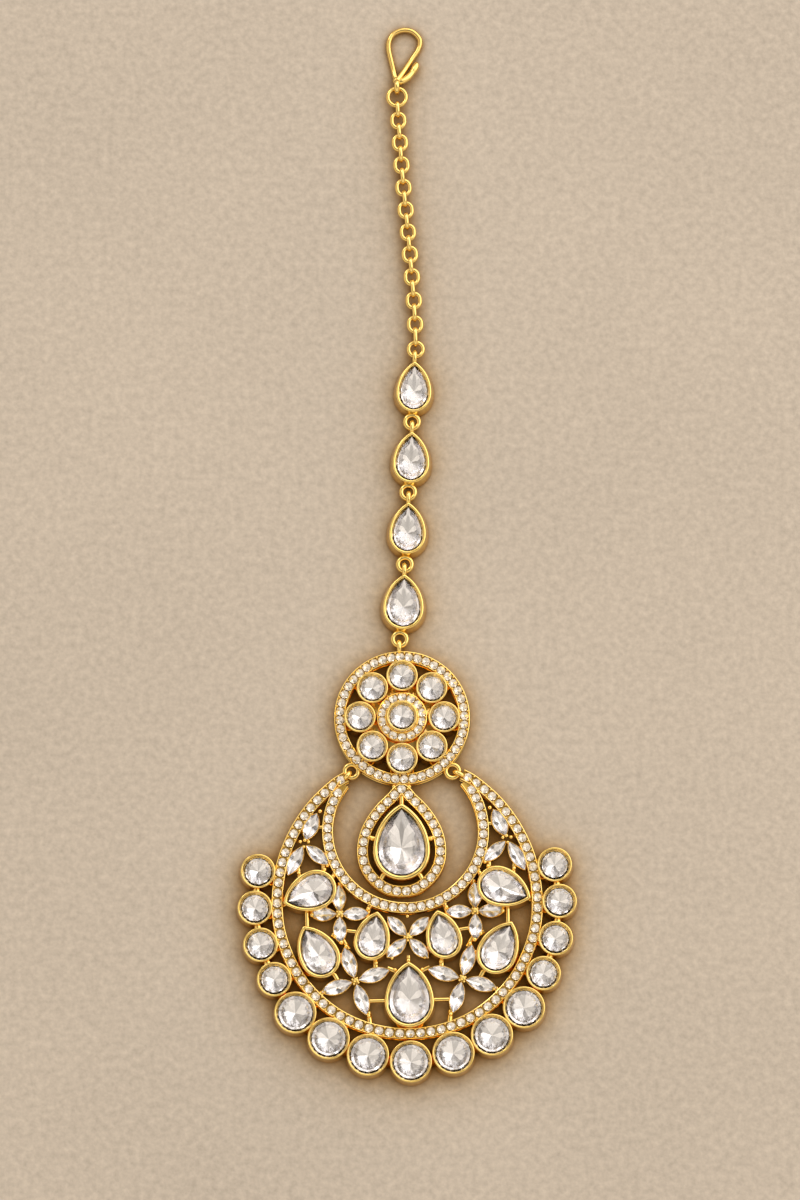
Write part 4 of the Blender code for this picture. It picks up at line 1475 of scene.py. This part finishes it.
class TIKKA_OT_stage(bpy.types.Operator):
    """Pale floor, soft studio light and the camera"""

    bl_idname = "tikka.stage"
    bl_label = "Stage"

    def execute(self, context):
        studio = context.scene.tikka_studio
        self.make_floor(context.scene, studio)
        self.make_world(context.scene, studio)
        self.make_lamp(context.scene, "key", KEY_PLACE, KEY_SIZE, studio.key)
        self.make_lamp(context.scene, "glint", GLINT_PLACE, GLINT_SIZE, studio.glint)
        self.make_camera(context.scene, studio)
        context.scene.view_settings.view_transform = "Standard"
        context.scene.cycles.use_denoising = True
        context.scene.cycles.max_bounces = 16
        context.scene.cycles.glossy_bounces = 14
        return {"FINISHED"}

    def make_floor(self, scene, studio):
        shape = bmesh.new()
        bmesh.ops.create_grid(shape, x_segments=1, y_segments=1, size=FLOOR_SIZE)
        mesh = as_mesh(shape)
        mesh.transform(Matrix.Translation((0.0, 0.0, FLOOR_LEVEL)))
        mesh.materials.append(self.floor_material(studio))
        ground = bpy.data.objects.new("floor", mesh)
        scene.collection.objects.link(ground)

    def floor_material(self, studio):
        """Fine grain and broad clouds, with painted shade and painted warm bounce light: darker and warmer
        where the jewel stands close over it.
        """
        material, tree, shader = new_material("pale_floor")
        spot = add_node(tree, "ShaderNodeTexCoord").outputs["Object"]
        fine = add_noise(tree, spot, Scale=1000.0, Detail=4.0, Roughness=0.6)
        broad = add_noise(tree, spot, Scale=22.0, Detail=2.0)
        grain = add_node(tree, "ShaderNodeValToRGB", {"Fac": multiply_add(tree, broad, 0.25, fine)})
        colour = Vector(studio.floor_colour)
        fill_ramp(grain, ((0.35, solid(colour * 0.83)), (0.9, solid(colour * 1.17))))
        # Painted shade and painted bounce light: occlusion by the jewel darkens and warms the floor's colour
        near = add_node(tree, "ShaderNodeAmbientOcclusion", {"Distance": 0.011}, samples=8)
        painted_shade_and_bounce = add_node(tree, "ShaderNodeValToRGB", {"Fac": near.outputs["AO"]})
        fill_ramp(painted_shade_and_bounce, [(position, solid(tint)) for position, tint in SHADE_STOPS])
        bump = add_node(tree, "ShaderNodeBump", {"Height": fine, "Distance": 0.00012, "Strength": 0.5})
        inputs = {
            "Roughness": 0.85,
            "Specular IOR Level": 0.2,
            "Base Color": multiply(tree, grain.outputs["Color"], painted_shade_and_bounce.outputs["Color"]),
            "Normal": bump.outputs["Normal"],
        }
        feed(tree, shader, inputs)
        return material

    def make_world(self, scene, studio):
        """A light tent, brighter towards the upper right and dark overhead and at the horizon."""
        scene.world = bpy.data.worlds.new("light_tent")
        scene.world.use_nodes = True
        tree = scene.world.node_tree
        spot = add_node(tree, "ShaderNodeTexCoord").outputs["Generated"]
        inputs = {0: spot, 1: BRIGHT_SIDE}
        along = add_node(tree, "ShaderNodeVectorMath", inputs, operation="DOT_PRODUCT")
        low, high = studio.sky * 0.97, studio.sky * 1.12
        inputs = {"Value": along.outputs["Value"], "From Min": -1.0, "To Min": low, "To Max": high}
        side = add_node(tree, "ShaderNodeMapRange", inputs)
        split = add_node(tree, "ShaderNodeSeparateXYZ", {0: spot})
        ramp = add_node(tree, "ShaderNodeValToRGB", {"Fac": split.outputs["Z"]})
        ramp.color_ramp.interpolation = "EASE"
        warm = Vector(TENT_COLOUR)
        fill_ramp(ramp, [(position, solid(warm * value)) for position, value in TENT_STOPS])
        inputs = {"Strength": side.outputs["Result"], "Color": ramp.outputs["Color"]}
        feed(tree, tree.nodes["Background"], inputs)

    def make_lamp(self, scene, name, spot, size, power):
        data = bpy.data.lights.new(name, "AREA")
        data.shape = "DISK"
        data.size = size
        data.energy = power
        data.color = LAMP_COLOUR
        lamp = bpy.data.objects.new(name, data)
        lamp.location = spot
        lamp.rotation_euler = (-Vector(spot)).to_track_quat("-Z", "Y").to_euler()
        lamp.visible_camera = False
        scene.collection.objects.link(lamp)

    def make_camera(self, scene, studio):
        target = Vector(VIEW_MIDDLE) * MM
        back = Vector((0.0, -cos(studio.elevation), sin(studio.elevation)))
        data = bpy.data.cameras.new("camera")
        data.sensor_fit = "VERTICAL"
        data.sensor_height = SENSOR_HEIGHT
        data.lens = SENSOR_HEIGHT * studio.distance / VIEW_HEIGHT
        data.clip_start = 0.01
        data.clip_end = 20.0
        camera = bpy.data.objects.new("camera", data)
        camera.location = target + back * studio.distance
        camera.rotation_euler = Euler((pi / 2 - studio.elevation, 0.0, 0.0))
        scene.collection.objects.link(camera)
        scene.camera = camera


class TIKKA_PT_panel(bpy.types.Panel):
    """The jewel's pieces and their sizes"""

    bl_idname = "TIKKA_PT_panel"
    bl_label = "Maang tikka"
    bl_space_type = "VIEW_3D"
    bl_region_type = "UI"
    bl_category = "Tikka"

    def draw(self, context):
        for operator in OPERATORS:
            self.layout.operator(operator.bl_idname)
        for holder in SETTINGS:
            group = getattr(context.scene, holder)
            box = self.layout.box()
            for label in group.__annotations__:
                box.prop(group, label)


OPERATORS = (
    TIKKA_OT_hair_hook,
    TIKKA_OT_chain,
    TIKKA_OT_pear_links,
    TIKKA_OT_medallion,
    TIKKA_OT_crescent,
    TIKKA_OT_stage,
)
SETTINGS = {
    "tikka_gold": GoldSettings,
    "tikka_stones": StoneSettings,
    "tikka_sizes": SettingSizes,
    "tikka_studio": StudioSettings,
}


def register():
    for holder, group in SETTINGS.items():
        bpy.utils.register_class(group)
        setattr(bpy.types.Scene, holder, PointerProperty(type=group))
    for operator in OPERATORS:
        bpy.utils.register_class(operator)
    bpy.utils.register_class(TIKKA_PT_panel)


def unregister():
    bpy.utils.unregister_class(TIKKA_PT_panel)
    for operator in reversed(OPERATORS):
        bpy.utils.unregister_class(operator)
    for holder, group in SETTINGS.items():
        delattr(bpy.types.Scene, holder)
        bpy.utils.unregister_class(group)


def main():
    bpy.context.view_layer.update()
    register()
    bpy.ops.tikka.hair_hook()
    bpy.ops.tikka.chain()
    bpy.ops.tikka.pear_links()
    bpy.ops.tikka.medallion()
    bpy.ops.tikka.crescent()
    bpy.ops.tikka.stage()


if __name__ == "__main__":
    main()
